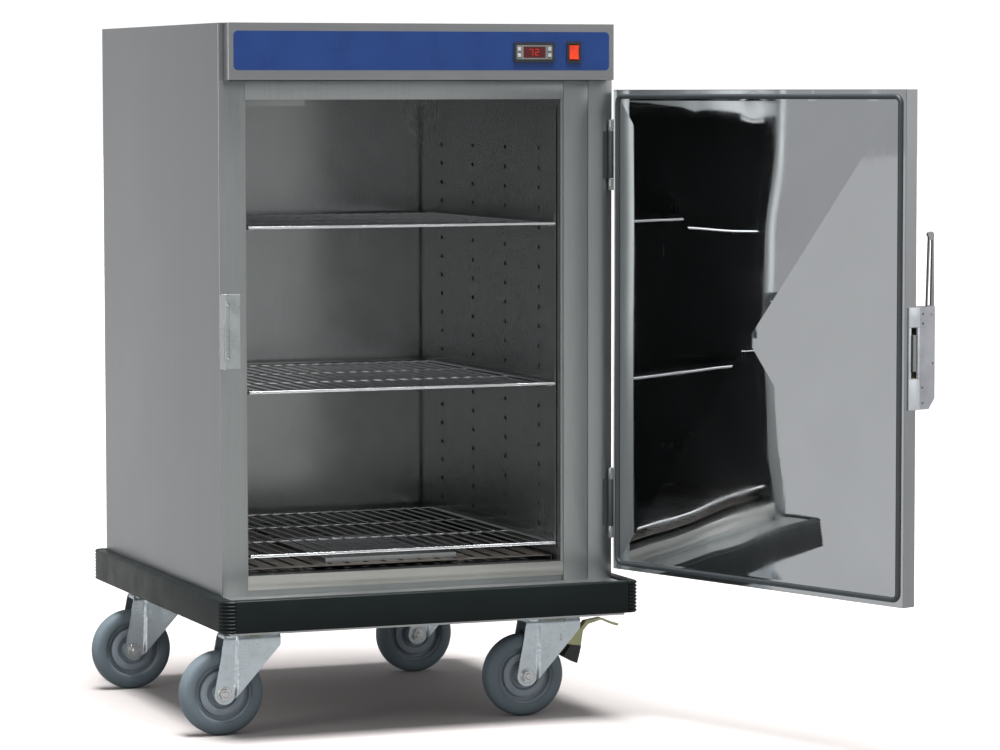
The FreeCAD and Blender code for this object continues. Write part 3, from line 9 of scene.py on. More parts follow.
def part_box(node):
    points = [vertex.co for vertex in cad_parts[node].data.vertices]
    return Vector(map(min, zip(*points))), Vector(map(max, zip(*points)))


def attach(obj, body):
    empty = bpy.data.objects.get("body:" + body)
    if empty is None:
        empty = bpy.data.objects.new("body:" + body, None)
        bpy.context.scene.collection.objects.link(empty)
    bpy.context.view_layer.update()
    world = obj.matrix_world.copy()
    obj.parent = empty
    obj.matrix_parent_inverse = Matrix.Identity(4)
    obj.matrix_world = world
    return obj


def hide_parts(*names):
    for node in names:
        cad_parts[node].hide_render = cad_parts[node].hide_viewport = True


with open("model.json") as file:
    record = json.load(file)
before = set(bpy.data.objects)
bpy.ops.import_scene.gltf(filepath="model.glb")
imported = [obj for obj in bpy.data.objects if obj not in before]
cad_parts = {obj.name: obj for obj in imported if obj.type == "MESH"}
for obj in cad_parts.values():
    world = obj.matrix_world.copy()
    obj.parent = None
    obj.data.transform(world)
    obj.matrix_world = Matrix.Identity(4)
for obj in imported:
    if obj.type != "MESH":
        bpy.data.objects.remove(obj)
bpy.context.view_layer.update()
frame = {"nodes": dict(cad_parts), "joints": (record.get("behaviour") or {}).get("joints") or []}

MM = 0.001

# The carcass gives the local frame that places are measured in: x right, y back, z up, in
# millimetres from its front left bottom corner.
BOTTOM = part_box("left_side_panel")[0]
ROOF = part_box("top_panel")[1]
CORNER = Vector((BOTTOM.x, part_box("top_panel")[0].y, BOTTOM.z))
WIDTH = (ROOF.x - CORNER.x) / MM
DEPTH = (ROOF.y - CORNER.y) / MM
HEIGHT = (ROOF.z - CORNER.z) / MM


def at(x, y, z):
    """A place in the row frame, from millimetres off the carcass corner."""
    return CORNER + Vector((x, y, z)) * MM


# ---------------------------------------------------------------- camera, floor and light


def make_camera():
    data = bpy.data.cameras.new("camera")
    data.sensor_width = 36
    data.lens = 138.94
    camera = bpy.data.objects.new("camera", data)
    camera.location = (-2.3506, -6.7814, 1.1329)
    camera.rotation_euler = [math.radians(angle) for angle in (85.78, 0.078, -21.34)]
    bpy.context.scene.collection.objects.link(camera)
    bpy.context.scene.camera = camera


def seen_white(tree, socket, bounced, seen):
    """Gives a socket one colour for light that bounces and another where it is looked at."""
    rays = tree.nodes.new("ShaderNodeLightPath")
    choose = tree.nodes.new("ShaderNodeMix")
    choose.data_type = "RGBA"
    tree.links.new(rays.outputs["Is Camera Ray"], choose.inputs["Factor"])
    choose.inputs["A"].default_value = bounced
    choose.inputs["B"].default_value = seen
    tree.links.new(choose.outputs["Result"], socket)
    return choose.inputs["A"]


def make_floor():
    mesh = bpy.data.meshes.new("studio_floor")
    floor = bpy.data.objects.new("studio_floor", mesh)
    bpy.context.scene.collection.objects.link(floor)
    form = bmesh.new()
    bmesh.ops.create_circle(form, cap_ends=True, segments=64, radius=60)
    form.to_mesh(mesh)
    form.free()
    material = bpy.data.materials.new("floor_paper")
    material.use_nodes = True
    tree = material.node_tree
    surface = tree.nodes["Principled BSDF"]
    surface.inputs["Roughness"].default_value = 0.9
    surface.inputs["Specular IOR Level"].default_value = 0.1
    seen_white(tree, surface.inputs["Base Color"], (0.19, 0.19, 0.19, 1), (0.4, 0.377, 0.37, 1))
    mesh.materials.append(material)


def make_light(name, place, aim, size, power):
    data = bpy.data.lights.new(name, "AREA")
    data.shape = "RECTANGLE"
    data.size, data.size_y = size
    data.energy = power
    light = bpy.data.objects.new(name, data)
    light.location = place
    light.rotation_euler = (Vector(aim) - Vector(place)).to_track_quat("-Z", "Y").to_euler()
    bpy.context.scene.collection.objects.link(light)


def make_sun(name, strength, spread, heading):
    """Light from above along a heading, spread over so many degrees."""
    data = bpy.data.lights.new(name, "SUN")
    data.energy = strength
    data.angle = math.radians(spread)
    light = bpy.data.objects.new(name, data)
    light.rotation_euler = Vector(heading).to_track_quat("-Z", "Y").to_euler()
    bpy.context.scene.collection.objects.link(light)


def make_studio():
    world = bpy.data.worlds.new("studio")
    bpy.context.scene.world = world
    world.use_nodes = True
    tree = world.node_tree
    backdrop = tree.nodes["Background"]
    place = tree.nodes.new("ShaderNodeTexCoord")
    split = tree.nodes.new("ShaderNodeSeparateXYZ")
    tree.links.new(place.outputs["Generated"], split.inputs[0])
    height = tree.nodes.new("ShaderNodeMapRange")
    height.inputs["From Min"].default_value = -1
    tree.links.new(split.outputs["Z"], height.inputs["Value"])
    tones = tree.nodes.new("ShaderNodeValToRGB")
    steps = ((0.46, 0.55), (0.54, 0.58), (0.62, 0.57), (0.72, 0.52), (1.0, 0.66))
    ramp = tones.color_ramp
    while len(ramp.elements) < len(steps):
        ramp.elements.new(0.5)
    for element, (position, tone) in zip(ramp.elements, steps):
        element.position = position
        element.color = (tone, tone * 1.005, tone * 1.015, 1)
    tree.links.new(height.outputs["Result"], tones.inputs["Fac"])
    white = (1.05, 1.05, 1.05, 1)
    bounced = seen_white(tree, backdrop.inputs["Color"], white, white)
    tree.links.new(tones.outputs["Color"], bounced)
    make_sun("ceiling", 10.5, 34, (0.0, 0.15, -1))
    make_light("key", (-4.2, -1.8, 1.6), (-0.3, -0.4, 0.7), (1.1, 2.8), 46)
    make_light("fill", (3.6, -2.6, 2.0), (0.2, -0.4, 0.6), (1.6, 2.6), 12)
    bpy.context.scene.view_settings.view_transform = "Standard"


# ---------------------------------------------------------------- materials


class Finish:
    """A procedural material, built up from a few kinds of step."""

    def __init__(self, name, colour, roughness, metallic=0.0, **settings):
        self.material = bpy.data.materials.new(name)
        self.material.use_nodes = True
        self.tree = self.material.node_tree
        self.surface = self.tree.nodes["Principled BSDF"]
        self.colour = (*colour, 1)
        self.roughness = roughness
        self.surface.inputs["Base Color"].default_value = self.colour
        self.surface.inputs["Roughness"].default_value = roughness
        self.surface.inputs["Metallic"].default_value = metallic
        for socket, value in settings.items():
            self.surface.inputs[socket.replace("_", " ")].default_value = value
        self.place = self.add("TexCoord").outputs["Object"]
        self.tone = None
        self.dullness = None
        self.relief = None

    def add(self, kind, **values):
        node = self.tree.nodes.new(f"ShaderNode{kind}")
        for name, value in values.items():
            node.inputs[name.replace("_", " ")].default_value = value
        return node

    def join(self, output, socket):
        self.tree.links.new(output, socket)

    def pattern(self, scale, detail=3, stretch=(1, 1, 1), distortion=0.0):
        """Noise with so many cells to the metre, longer where stretch is small."""
        mapping = self.add("Mapping", Scale=[scale * share for share in stretch])
        self.join(self.place, mapping.inputs["Vector"])
        grain = self.add("TexNoise", Scale=1, Detail=detail, Distortion=distortion)
        self.join(mapping.outputs["Vector"], grain.inputs["Vector"])
        return grain.outputs["Fac"]

    def ranged(self, value, low, high, start=0.3, end=0.7):
        node = self.add("MapRange", From_Min=start, From_Max=end, To_Min=low, To_Max=high)
        self.join(value, node.inputs["Value"])
        return node.outputs["Result"]

    def shade(self, value, darker, lighter):
        """Varies the colour between a darker and a lighter share of itself."""
        share = self.ranged(value, darker, lighter)
        node = self.add("VectorMath")
        node.operation = "SCALE"
        if self.tone is None:
            node.inputs[0].default_value = self.colour[:3]
        else:
            self.join(self.tone, node.inputs[0])
        self.join(share, node.inputs["Scale"])
        self.tone = node.outputs["Vector"]
        return self

    def tint(self, value, colour, start=0.5, end=0.8, most=1.0):
        """Mixes another colour in where the value is high."""
        share = self.ranged(value, 0, most, start, end)
        node = self.add("Mix")
        node.data_type = "RGBA"
        self.join(share, node.inputs["Factor"])
        if self.tone is None:
            node.inputs["A"].default_value = self.colour
        else:
            self.join(self.tone, node.inputs["A"])
        node.inputs["B"].default_value = (*colour, 1)
        self.tone = node.outputs["Result"]
        return self

    def dull(self, value, less, more):
        """Adds to the roughness, from less to more."""
        extra = self.ranged(value, less, more)
        node = self.add("Math")
        node.operation = "ADD"
        if self.dullness is None:
            node.inputs[0].default_value = self.roughness
        else:
            self.join(self.dullness, node.inputs[0])
        self.join(extra, node.inputs[1])
        self.dullness = node.outputs[0]
        return self

    def bump(self, value, depth, strength=1.0):
        """Relief so many millimetres deep."""
        node = self.add("Bump", Strength=strength, Distance=depth * MM)
        self.join(value, node.inputs["Height"])
        if self.relief is not None:
            self.join(self.relief, node.inputs["Normal"])
        self.relief = node.outputs["Normal"]
        return self

    def done(self):
        if self.tone is not None:
            self.join(self.tone, self.surface.inputs["Base Color"])
        if self.dullness is not None:
            self.join(self.dullness, self.surface.inputs["Roughness"])
        if self.relief is not None:
            self.join(self.relief, self.surface.inputs["Normal"])
        return self.material


ALONG = {"x": (0.012, 1, 1), "y": (1, 0.012, 1), "z": (1, 1, 0.012)}


def brushed_steel(name, axis, colour=(0.292, 0.3, 0.308), roughness=0.34):
    """Sheet steel with a directional satin finish along an axis."""
    finish = Finish(name, colour, roughness, 1.0)
    lines = finish.pattern(1400, 4, ALONG[axis])
    bands = finish.pattern(120, 2, ALONG[axis])
    clouds = finish.pattern(4, 3)
    finish.shade(lines, 0.95, 1.04).shade(bands, 0.985, 1.015).shade(clouds, 0.97, 1.03)
    finish.dull(lines, -0.03, 0.04).dull(clouds, -0.03, 0.05)
    return finish.bump(lines, 0.012, 0.4).done()


def polished_steel(name, colour=(0.56, 0.57, 0.575), roughness=0.1):
    """Bright sheet steel, nearly a mirror, with faint clouding and fine scratches."""
    finish = Finish(name, colour, roughness, 1.0)
    clouds = finish.pattern(6, 4)
    scratches = finish.pattern(260, 3, (1, 1, 0.08), 0.6)
    finish.shade(clouds, 0.96, 1.03)
    finish.dull(clouds, -0.03, 0.04).dull(scratches, 0.0, 0.03)
    return finish.bump(scratches, 0.004, 0.4).done()


def liner_steel():
    """Bright-rolled steel with cooking haze, which gives back a little light to every side. Its
    colour is darkened far below bright steel, as painted shade for the deep cavity.
    """
    # The dark base colour is painted shade of the cavity, not the steel's own tone.
    finish = Finish("liner_polished_painted_shade", (0.265, 0.275, 0.275), 0.16, 0.86)
    clouds = finish.pattern(6, 4)
    scratches = finish.pattern(260, 3, (1, 1, 0.08), 0.6)
    finish.shade(clouds, 0.9, 1.05)
    finish.dull(clouds, -0.05, 0.09).dull(scratches, 0.0, 0.04)
    return finish.bump(scratches, 0.006, 0.4).done()


def plain_metal(name, colour, roughness, grain=900, spots=None):
    """Plated or cast metal with a fine grain and uneven clouding."""
    finish = Finish(name, colour, roughness, 1.0)
    fine = finish.pattern(grain, 3)
    clouds = finish.pattern(30, 4)
    finish.shade(clouds, 0.88, 1.1).shade(fine, 0.95, 1.05)
    if spots:
        finish.tint(finish.pattern(60, 3), spots, 0.5, 0.72, 0.6)
    finish.dull(clouds, -0.06, 0.1).dull(fine, -0.03, 0.05)
    return finish.bump(fine, 0.03, 0.4).done()


def moulded(name, colour, roughness, grain=700, depth=0.03, **settings):
    """Moulded plastic or rubber with a fine matt texture."""
    finish = Finish(name, colour, roughness, 0.0, **settings)
    fine = finish.pattern(grain, 2)
    clouds = finish.pattern(18, 3)
    finish.shade(clouds, 0.92, 1.08).shade(fine, 0.95, 1.05)
    finish.dull(clouds, -0.05, 0.06).dull(fine, -0.03, 0.04)
    return finish.bump(fine, depth, 0.6).done()


def glowing(name, colour, glow, strength):
    """A lit lens, brighter in the middle of its grain."""
    finish = Finish(name, colour, 0.18, 0.0, Emission_Strength=strength)
    finish.surface.inputs["Emission Color"].default_value = (*glow, 1)
    clouds = finish.pattern(200, 2)
    finish.shade(clouds, 0.85, 1.1)
    return finish.dull(clouds, -0.04, 0.05).done()


def make_finishes():
    return {
        "casing_steel": brushed_steel("casing_brushed_upright", "z"),
        "casing_level": brushed_steel("casing_brushed_level", "x"),
        # The liner's finish carries painted shade for the cavity.
        "polished_steel": liner_steel(),
        "insulation_wool": moulded("mineral_wool", (0.55, 0.47, 0.26), 0.95, 300, 1.0),
        "base_steel": brushed_steel("base_brushed", "x", (0.4, 0.41, 0.41), 0.34),
        "bumper_rubber": moulded("bumper_vinyl", (0.006, 0.009, 0.009), 0.38, 500, 0.04,
                                Specular_IOR_Level=0.12),
        "overlay_blue": moulded("overlay_film", (0.009, 0.038, 0.16), 0.3, 1500, 0.01,
                               Specular_IOR_Level=0.35),
        "black_plastic": moulded("black_abs", (0.015, 0.015, 0.017), 0.35, 1200, 0.02),
        "display_red": glowing("display_lens", (0.03, 0.003, 0.004), (0.5, 0.01, 0.01), 0.1),
        "rocker_red": glowing("rocker_lens", (0.55, 0.03, 0.008), (1.0, 0.06, 0.01), 0.28),
        "button_grey": moulded("button_plastic", (0.42, 0.43, 0.44), 0.45, 1500, 0.01),
        "element_steel": plain_metal("element_sheath", (0.22, 0.2, 0.18), 0.4),
        "chrome_wire": polished_steel("shelf_chrome", (0.66, 0.67, 0.68), 0.12),
        "gasket_rubber": moulded("gasket_rubber", (0.028, 0.034, 0.038), 0.5, 500, 0.03),
        "zinc_plate": plain_metal("bright_zinc", (0.56, 0.62, 0.655), 0.28, 1100,
                                  (0.46, 0.47, 0.48)),
        "hub_plastic": moulded("hub_nylon", (0.225, 0.262, 0.295), 0.45, 500, 0.05),
        "tyre_grey": moulded("tyre_rubber", (0.108, 0.138, 0.158), 0.62, 400, 0.05),
        "terminal_white": moulded("terminal_plastic", (0.78, 0.76, 0.7), 0.5),
        "mirror_steel": polished_steel("door_mirror", (0.485, 0.5, 0.515), 0.01),
        "casing_front": brushed_steel("casing_brushed_front", "z", (0.32, 0.337, 0.334), 0.32),
        "controller_grey": moulded("controller_label", (0.16, 0.165, 0.16), 0.4, 1200, 0.01),
        "figure_red": glowing("display_figure", (0.4, 0.01, 0.01), (1.0, 0.03, 0.02), 0.35),
        "satin_plate": plain_metal("bracket_satin", (0.6, 0.63, 0.66), 0.3),
        "keeper_satin": plain_metal("keeper_satin", (0.44, 0.47, 0.475), 0.3),
        "latch_satin": plain_metal("latch_satin", (0.4, 0.41, 0.44), 0.34),
        "dark_bush": moulded("hinge_bush", (0.03, 0.032, 0.034), 0.4),
        # The sill's lighter, warmer colour is partly its own finish and partly a painted highlight
        # of light from above.
        "sill_finish_and_highlight": brushed_steel("sill_brushed_and_highlight", "x", (0.5, 0.5, 0.47), 0.3),
        "chromate": plain_metal("brake_chromate", (0.36, 0.37, 0.22), 0.34, 900, (0.42, 0.4, 0.2)),
        "dark_screw": plain_metal("screw_black_zinc", (0.16, 0.16, 0.17), 0.35),
        "bolt_steel": plain_metal("axle_bolt_zinc", (0.62, 0.63, 0.62), 0.26),
        "race_zinc": plain_metal("race_passivated", (0.42, 0.42, 0.3), 0.34, 900, (0.3, 0.32, 0.2)),
    }


NODE_FINISH = {
    "front_frame": "casing_front",
    "latch_body": "latch_satin",
    "latch_bracket": "latch_satin",
    "latch_keeper": "keeper_satin",
    "brake_pedal": "chromate",
    "hinge_frame_leaves": "dark_bush",
}
LEVEL_NODES = ("control_fascia", "top_panel")


def dress_nodes(finishes):
    """Every CAD node takes the finish of its own material slot."""
    for name, node in frame["nodes"].items():
        for slot in node.material_slots:
            kind = slot.material.name.split(".")[0]
            if name in LEVEL_NODES and kind == "casing_steel":
                kind = "casing_level"
            kind = NODE_FINISH.get(name, kind)
            slot.material = finishes[kind]


# ---------------------------------------------------------------- building pieces

JOINTS = {joint["name"]: joint for joint in frame["joints"]}
TO_ROW = Matrix.Translation(CORNER) @ Matrix.Scale(MM, 4)
HINGE = Vector(JOINTS["door_hinge"]["pos_m"])
OPENED = math.radians(-JOINTS["door_hinge"]["range_deg"][0])
SWING = Matrix.Translation(HINGE) @ Matrix.Rotation(OPENED, 4, "Z") @ Matrix.Translation(-HINGE)
# Door pieces are built with the door closed and then swung open.
DOOR = SWING @ TO_ROW


def span(name, place=TO_ROW):
    """A CAD node's lowest and highest corner in millimetres, in the frame that place leads from."""
    back = place.inverted()
    points = [back @ vertex.co for vertex in frame["nodes"][name].data.vertices]
    low = Vector(min(point[axis] for point in points) for axis in range(3))
    high = Vector(max(point[axis] for point in points) for axis in range(3))
    return low, high


def piece(name, form, finish, body, place=TO_ROW, sharp=35):
    """Makes an object of a form built in millimetres, and lets it ride on a body."""
    form.transform(place)
    bmesh.ops.recalc_face_normals(form, faces=form.faces)
    mesh = bpy.data.meshes.new(name)
    form.to_mesh(mesh)
    form.free()
    mesh.shade_smooth()
    if sharp:
        mesh.set_sharp_from_angle(angle=math.radians(sharp))
    thing = bpy.data.objects.new(name, mesh)
    bpy.context.scene.collection.objects.link(thing)
    mesh.materials.append(finish)
    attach(thing, body)
    return thing


def round_edges(form, edges, radius, steps=3):
    if radius:
        bmesh.ops.bevel(
            form, geom=edges, offset=radius, segments=steps, profile=0.5, affect="EDGES",
            clamp_overlap=True,
        )


def block(form, low, high, radius=0.0, steps=3):
    """A block with rounded edges."""
    low = Vector(low)
    high = Vector(high)
    corners = bmesh.ops.create_cube(form, size=1)["verts"]
    for corner in corners:
        corner.co = [low[i] + (corner.co[i] + 0.5) * (high[i] - low[i]) for i in range(3)]
    edges = {edge for corner in corners for edge in corner.link_edges}
    round_edges(form, list(edges), radius, steps)


def turned(axis, first, second, along):
    """A point from two places across an axis and one along it."""
    places = {
        "x": (along, first, second),
        "y": (first, along, second),
        "z": (first, second, along),
    }
    return places[axis]


def prism(form, axis, outline, low, high, radius=0.0, steps=2, bend=30):
    """An outline pulled along an axis; its sharp edges are rounded."""
    ends = [
        [form.verts.new(turned(axis, *point, along)) for point in outline]
        for along in (low, high)
    ]
    form.faces.new(ends[0])
    form.faces.new(reversed(ends[1]))
    count = len(outline)
    for index in range(count):
        following = (index + 1) % count
        form.faces.new((ends[0][index], ends[0][following], ends[1][following], ends[1][index]))
    if radius:
        made = {edge for vertex in ends[0] + ends[1] for edge in vertex.link_edges}
        limit = math.radians(bend)
        form.normal_update()
        round_edges(form, [edge for edge in made if edge.calc_face_angle(0) > limit], radius, steps)


def arc(centre, radius, start, end, steps):
    """Points along an arc, in degrees."""
    turns = [math.radians(start + (end - start) * step / steps) for step in range(steps + 1)]
    return [(centre[0] + radius * math.cos(t), centre[1] + radius * math.sin(t)) for t in turns]


def rounded_rectangle(low, high, radius, steps=8):
    """A rectangle's outline with round corners, anticlockwise."""
    points = []
    for x, y, start in (
        (high[0] - radius, high[1] - radius, 0),
        (low[0] + radius, high[1] - radius, 90),
        (low[0] + radius, low[1] + radius, 180),
        (high[0] - radius, low[1] + radius, 270),
    ):
        points += arc((x, y), radius, start, start + 90, steps)
    return points


def skin(form, rings, closed=True, capped=False):
    """Joins rings of points, which all have the same count, into a surface."""
    made = [[form.verts.new(point) for point in ring] for ring in rings]
    count = len(rings[0])
    turns = range(count) if closed else range(count - 1)
    for ring, following in zip(made, made[1:]):
        for index in turns:
            after = (index + 1) % count
            form.faces.new((ring[index], ring[after], following[after], following[index]))
    if capped:
        form.faces.new(reversed(made[0]))
        form.faces.new(made[-1])
    return made


def lathe(form, profile, centre, axis="y", steps=64, start=0, end=360):
    """Turns a closed profile of (radius, along) points about an axis."""
    whole = end - start == 360
    rings = []
    for step in range(steps if whole else steps + 1):
        turn = math.radians(start + (end - start) * step / steps)
        ring = []
        for radius, along in profile:
            point = turned(axis, radius * math.cos(turn), radius * math.sin(turn), along)
            ring.append(Vector(centre) + Vector(point))
        rings.append(ring)
    if whole:
        rings.append(rings[0])
    skin(form, rings, closed=True, capped=not whole)
    bmesh.ops.remove_doubles(form, verts=form.verts, dist=0.001)


def screw_head(form, centre, axis, radius, height, driver=0.28):
    """A round head with a crowned top and a cross-shaped recess; it faces along the axis."""
    profile = [(0, 0.55 * height), (radius * 0.42, 0.6 * height), (radius * 0.5, height)]
    profile += [(radius * 0.8, height * 0.82), (radius, height * 0.35), (radius, 0), (0, 0)]
    sign = 1 if axis[0] != "-" else -1
    lathe(form, [(r, sign * a) for r, a in profile], centre, axis[-1], 20)
    arm = radius * driver / 2
    reach = radius * 0.62
    for across, upward in ((reach, arm), (arm, reach)):
        low = Vector(centre) + Vector(turned(axis[-1], -across, -upward, sign * 0.2 * height))
        high = Vector(centre) + Vector(turned(axis[-1], across, upward, sign * 0.75 * height))
        block(form, [min(a, b) for a, b in zip(low, high)], [max(a, b) for a, b in zip(low, high)])


def soften(name, width, angle=35):
    """Rounds the sharp edges of a CAD node that keeps its own mesh."""
    node = frame["nodes"][name]
    weld = node.modifiers.new("weld", "WELD")
    weld.merge_threshold = 0.02 * MM
    bevel = node.modifiers.new("round", "BEVEL")
    bevel.width = width * MM
    bevel.segments = 2
    bevel.limit_method = "ANGLE"
    bevel.angle_limit = math.radians(angle)
    bevel.harden_normals = True


# ---------------------------------------------------------------- casing


def make_side_panels():
    """Each side is one sheet, folded round a small radius to a flange at the front and back."""
    sheet = 1.2
    bend = 2.0
    for side in ("left", "right"):
        name = f"{side}_side_panel"
        low, high = span(name)
        front, back = low.y, high.y
        flange = high.x - low.x
        outer = [(flange, front)] + arc((bend, front + bend), bend, 270, 180, 5)
        outer += arc((bend, back - bend), bend, 180, 90, 5) + [(flange, back)]
        inner = bend - sheet
        inside = [(flange, back - sheet)] + arc((bend, back - bend), inner, 90, 180, 5)
        inside += arc((bend, front + bend), inner, 180, 270, 5) + [(flange, front + sheet)]
        outline = outer + inside
        if side == "right":
            outline = [(WIDTH - x, y) for x, y in outline]
        form = bmesh.new()
        prism(form, "z", outline, low.z, high.z)
        panel = piece(f"{name}_sheet", form, finishes["casing_steel"], "cabinet")
        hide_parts(name)


# The stiles' inner edges, from the carcass's left and right sides.
LEFT_STILE = 48
RIGHT_STILE = 95


def make_front_frame():
    """Stiles, header and sill are separate sheets, so fine joints show between them."""
    low, high = span("front_frame")
    liner_low, liner_high = span("cavity_liner")
    sheet = 1.2
    joint = 0.35
    left = LEFT_STILE
    right = WIDTH - RIGHT_STILE
    roof = liner_high.z - sheet
    floor = liner_low.z + sheet
    sill = 11
    form = bmesh.new()
    # The hinge side's stile has a separate strip for the hinges.
    seam = high.x - 46
    for x_low, x_high in ((low.x, left), (right, seam - joint), (seam + joint, high.x)):
        block(form, (x_low, 0, low.z), (x_high, sheet, high.z), 0.45, 2)
    block(form, (left + joint, sheet / 2, roof), (right - joint, sheet * 1.5, high.z), 0.45, 2)
    block(form, (left + joint, 3, low.z), (right - joint, 3 + sheet, sill - 1), 0.3, 2)
    sheets = piece("front_frame_sheets", form, finishes["casing_front"], "cabinet")
    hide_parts("front_frame")
    # The sill plate's finish is lighter than the stiles, partly as a painted highlight of light
    # from above.
    form = bmesh.new()
    block(form, (left + joint, 0, sill - sheet), (right - joint, 3 + sheet, sill), 0.4, 2)
    block(form, (left + joint, 0, sill - sheet), (right - joint, sheet, floor), 0.5, 2)
    piece("sill_plate", form, finishes["sill_finish_and_highlight"], "cabinet")


def make_bumper():
    """Rounded rails and a ribbed quarter-round at each corner."""
    low, high = span("bumper_rails")
    corner_low, corner_high = span("bumper_corners")
    thick = high.x - WIDTH
    edge = 3.0
    rail_low, rail_high = low.z, high.z
    front = low.y + thick
    back = high.y - thick
    form = bmesh.new()
    gap = 0.4
    for y_low, y_high in ((low.y, front), (back, high.y)):
        block(form, (gap, y_low, rail_low), (WIDTH - gap, y_high, rail_high), edge)
    for x_low, x_high in ((low.x, 0), (WIDTH, high.x)):
        block(form, (x_low, front + gap, rail_low), (x_high, back - gap, rail_high), edge)
    rails = piece("bumper_rail_strips", form, finishes["bumper_rubber"], "cabinet")
    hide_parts("bumper_rails")
    form = bmesh.new()
    ribs = 9
    pitch = (corner_high.z - corner_low.z) / ribs
    ridge = ((0.1, 2.4), (0.22, 0.8), (0.38, 0), (0.62, 0), (0.78, 0.8), (0.9, 2.4))
    profile = [(0.5, corner_low.z), (thick - 2.2, corner_low.z)]
    for rib in range(ribs):
        base = corner_low.z + rib * pitch
        for share, depth in ridge:
            profile.append((thick - depth, base + share * pitch))
    profile += [(thick - 2.2, corner_high.z), (0.5, corner_high.z)]
    for x, y, start in ((0, front, 180), (WIDTH, front, 270), (WIDTH, back, 0), (0, back, 90)):
        lathe(form, profile, (x, y, 0), "z", 14, start, start + 90)
    rubber = finishes["bumper_rubber"]
    corners = piece("bumper_corner_caps", form, rubber, "cabinet")
    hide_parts("bumper_corners")


def make_screws():
    """Countersunk heads in the top panel and the keeper, and dome heads on the back panel."""
    form = bmesh.new()
    radius = 3.7
    edge = 12
    for x in (edge, WIDTH - edge):
        for share in (0.04, 0.36, 0.67, 0.925, 0.975):
            screw_head(form, (x, DEPTH * share, HEIGHT - 1.2), "z", radius, 1.1)
        for share in (0.04, 0.28, 0.52, 0.76, 0.96):
            screw_head(form, (x, DEPTH, HEIGHT * share), "y", radius, 2.2)
    low, high = span("latch_keeper")
    for z in (low.z + 21, high.z - 16):
        screw_head(form, (13.5, 0, z), "-y", radius, 1.2)
    heads = piece("screw_heads", form, finishes["zinc_plate"], "cabinet")
    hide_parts("cabinet_screws")


# ---------------------------------------------------------------- controls


def plate_with_holes(form, outer, holes, low, high):
    """A plate in the x-z plane with openings, between two depths."""
    edges = []
    for outline in [outer] + holes:
        ring = [form.verts.new((x, low, z)) for x, z in outline]
        edges += [form.edges.new((ring[i], ring[(i + 1) % len(ring)])) for i in range(len(ring))]
    filled = bmesh.ops.triangle_fill(form, use_beauty=True, edges=edges)
    faces = [thing for thing in filled["geom"] if isinstance(thing, bmesh.types.BMFace)]
    pulled = bmesh.ops.extrude_face_region(form, geom=faces)
    for vertex in pulled["geom"]:
        if isinstance(vertex, bmesh.types.BMVert):
            vertex.co.y = high


SEGMENTS = {"7": "abc", "2": "abged"}


def digit(form, figure, x, y, z, width, height):
    """A seven-segment figure, made of small bars on the display."""
    bar = width * 0.2
    half = height / 2
    gap = 0.15
    bars = {
        "a": ((0, height - bar), (width, height)),
        "g": ((0, half - bar / 2), (width, half + bar / 2)),
        "d": ((0, 0), (width, bar)),
        "b": ((width - bar, half), (width, height)),
        "e": ((0, 0), (bar, half)),
        "c": ((width - bar, 0), (width, half)),
    }
    for segment in SEGMENTS[figure]:
        (x_low, z_low), (x_high, z_high) = bars[segment]
        low = (x + x_low + gap, y - gap, z + z_low + gap)
        block(form, low, (x + x_high - gap, y, z + z_high - gap))


def make_controller():
    """The controller's grey face with its lit figures, round the window and the buttons."""
    low, high = span("controller_housing")
    window_low, window_high = span("display_window")
    middle = (window_low + window_high) / 2
    holes = [rounded_rectangle((window_low.x, window_low.z), (window_high.x, window_high.z), 1, 3)]
    clear = 0.4
    for number in range(1, 5):
        button_low, button_high = span(f"controller_button_{number}")
        hole = (
            (button_low.x - clear, button_low.z - clear),
            (button_high.x + clear, button_high.z + clear),
        )
        holes.append(rounded_rectangle(*hole, 0.8, 2))
    half_x, half_z = 34, 12.5
    form = bmesh.new()
    outer = rounded_rectangle(
        (middle.x - half_x, middle.z - half_z), (middle.x + half_x, middle.z + half_z), 2, 4
    )
    plate_with_holes(form, outer, holes, low.y - 0.25, low.y + 0.05)
    grey = finishes["controller_grey"]
    piece("controller_face", form, grey, "cabinet", sharp=20)
    form = bmesh.new()
    width, height = 6.6, 11.6
    pitch = 10.5
    for index, figure in enumerate("72"):
        x = middle.x - 9 + index * pitch
        digit(form, figure, x, window_low.y, middle.z - height / 2, width, height)
    piece("display_figures", form, finishes["figure_red"], "cabinet")
    soften("controller_housing", 0.6)
    soften("rocker_bezel", 0.7)
    for number in range(1, 5):
        soften(f"controller_button_{number}", 0.5)


def make_rocker():
    """The rocker's key, hollowed towards its middle."""
    low, high = span("rocker_switch")
    middle = (low.z + high.z) / 2
    half = (high.z - low.z) / 2
    outline = [(high.y, low.z + 1.4), (high.y, high.z - 1.4)]
    for step in range(9):
        share = 1 - step / 4
        outline.append((low.y + 1.4 * (1 - share * share), middle + share * (half - 0.8)))
    form = bmesh.new()
    prism(form, "x", outline, low.x, high.x, 0.5)
    key = piece("rocker_key", form, finishes["rocker_red"], "rocker")
    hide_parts("rocker_switch")


# ---------------------------------------------------------------- door


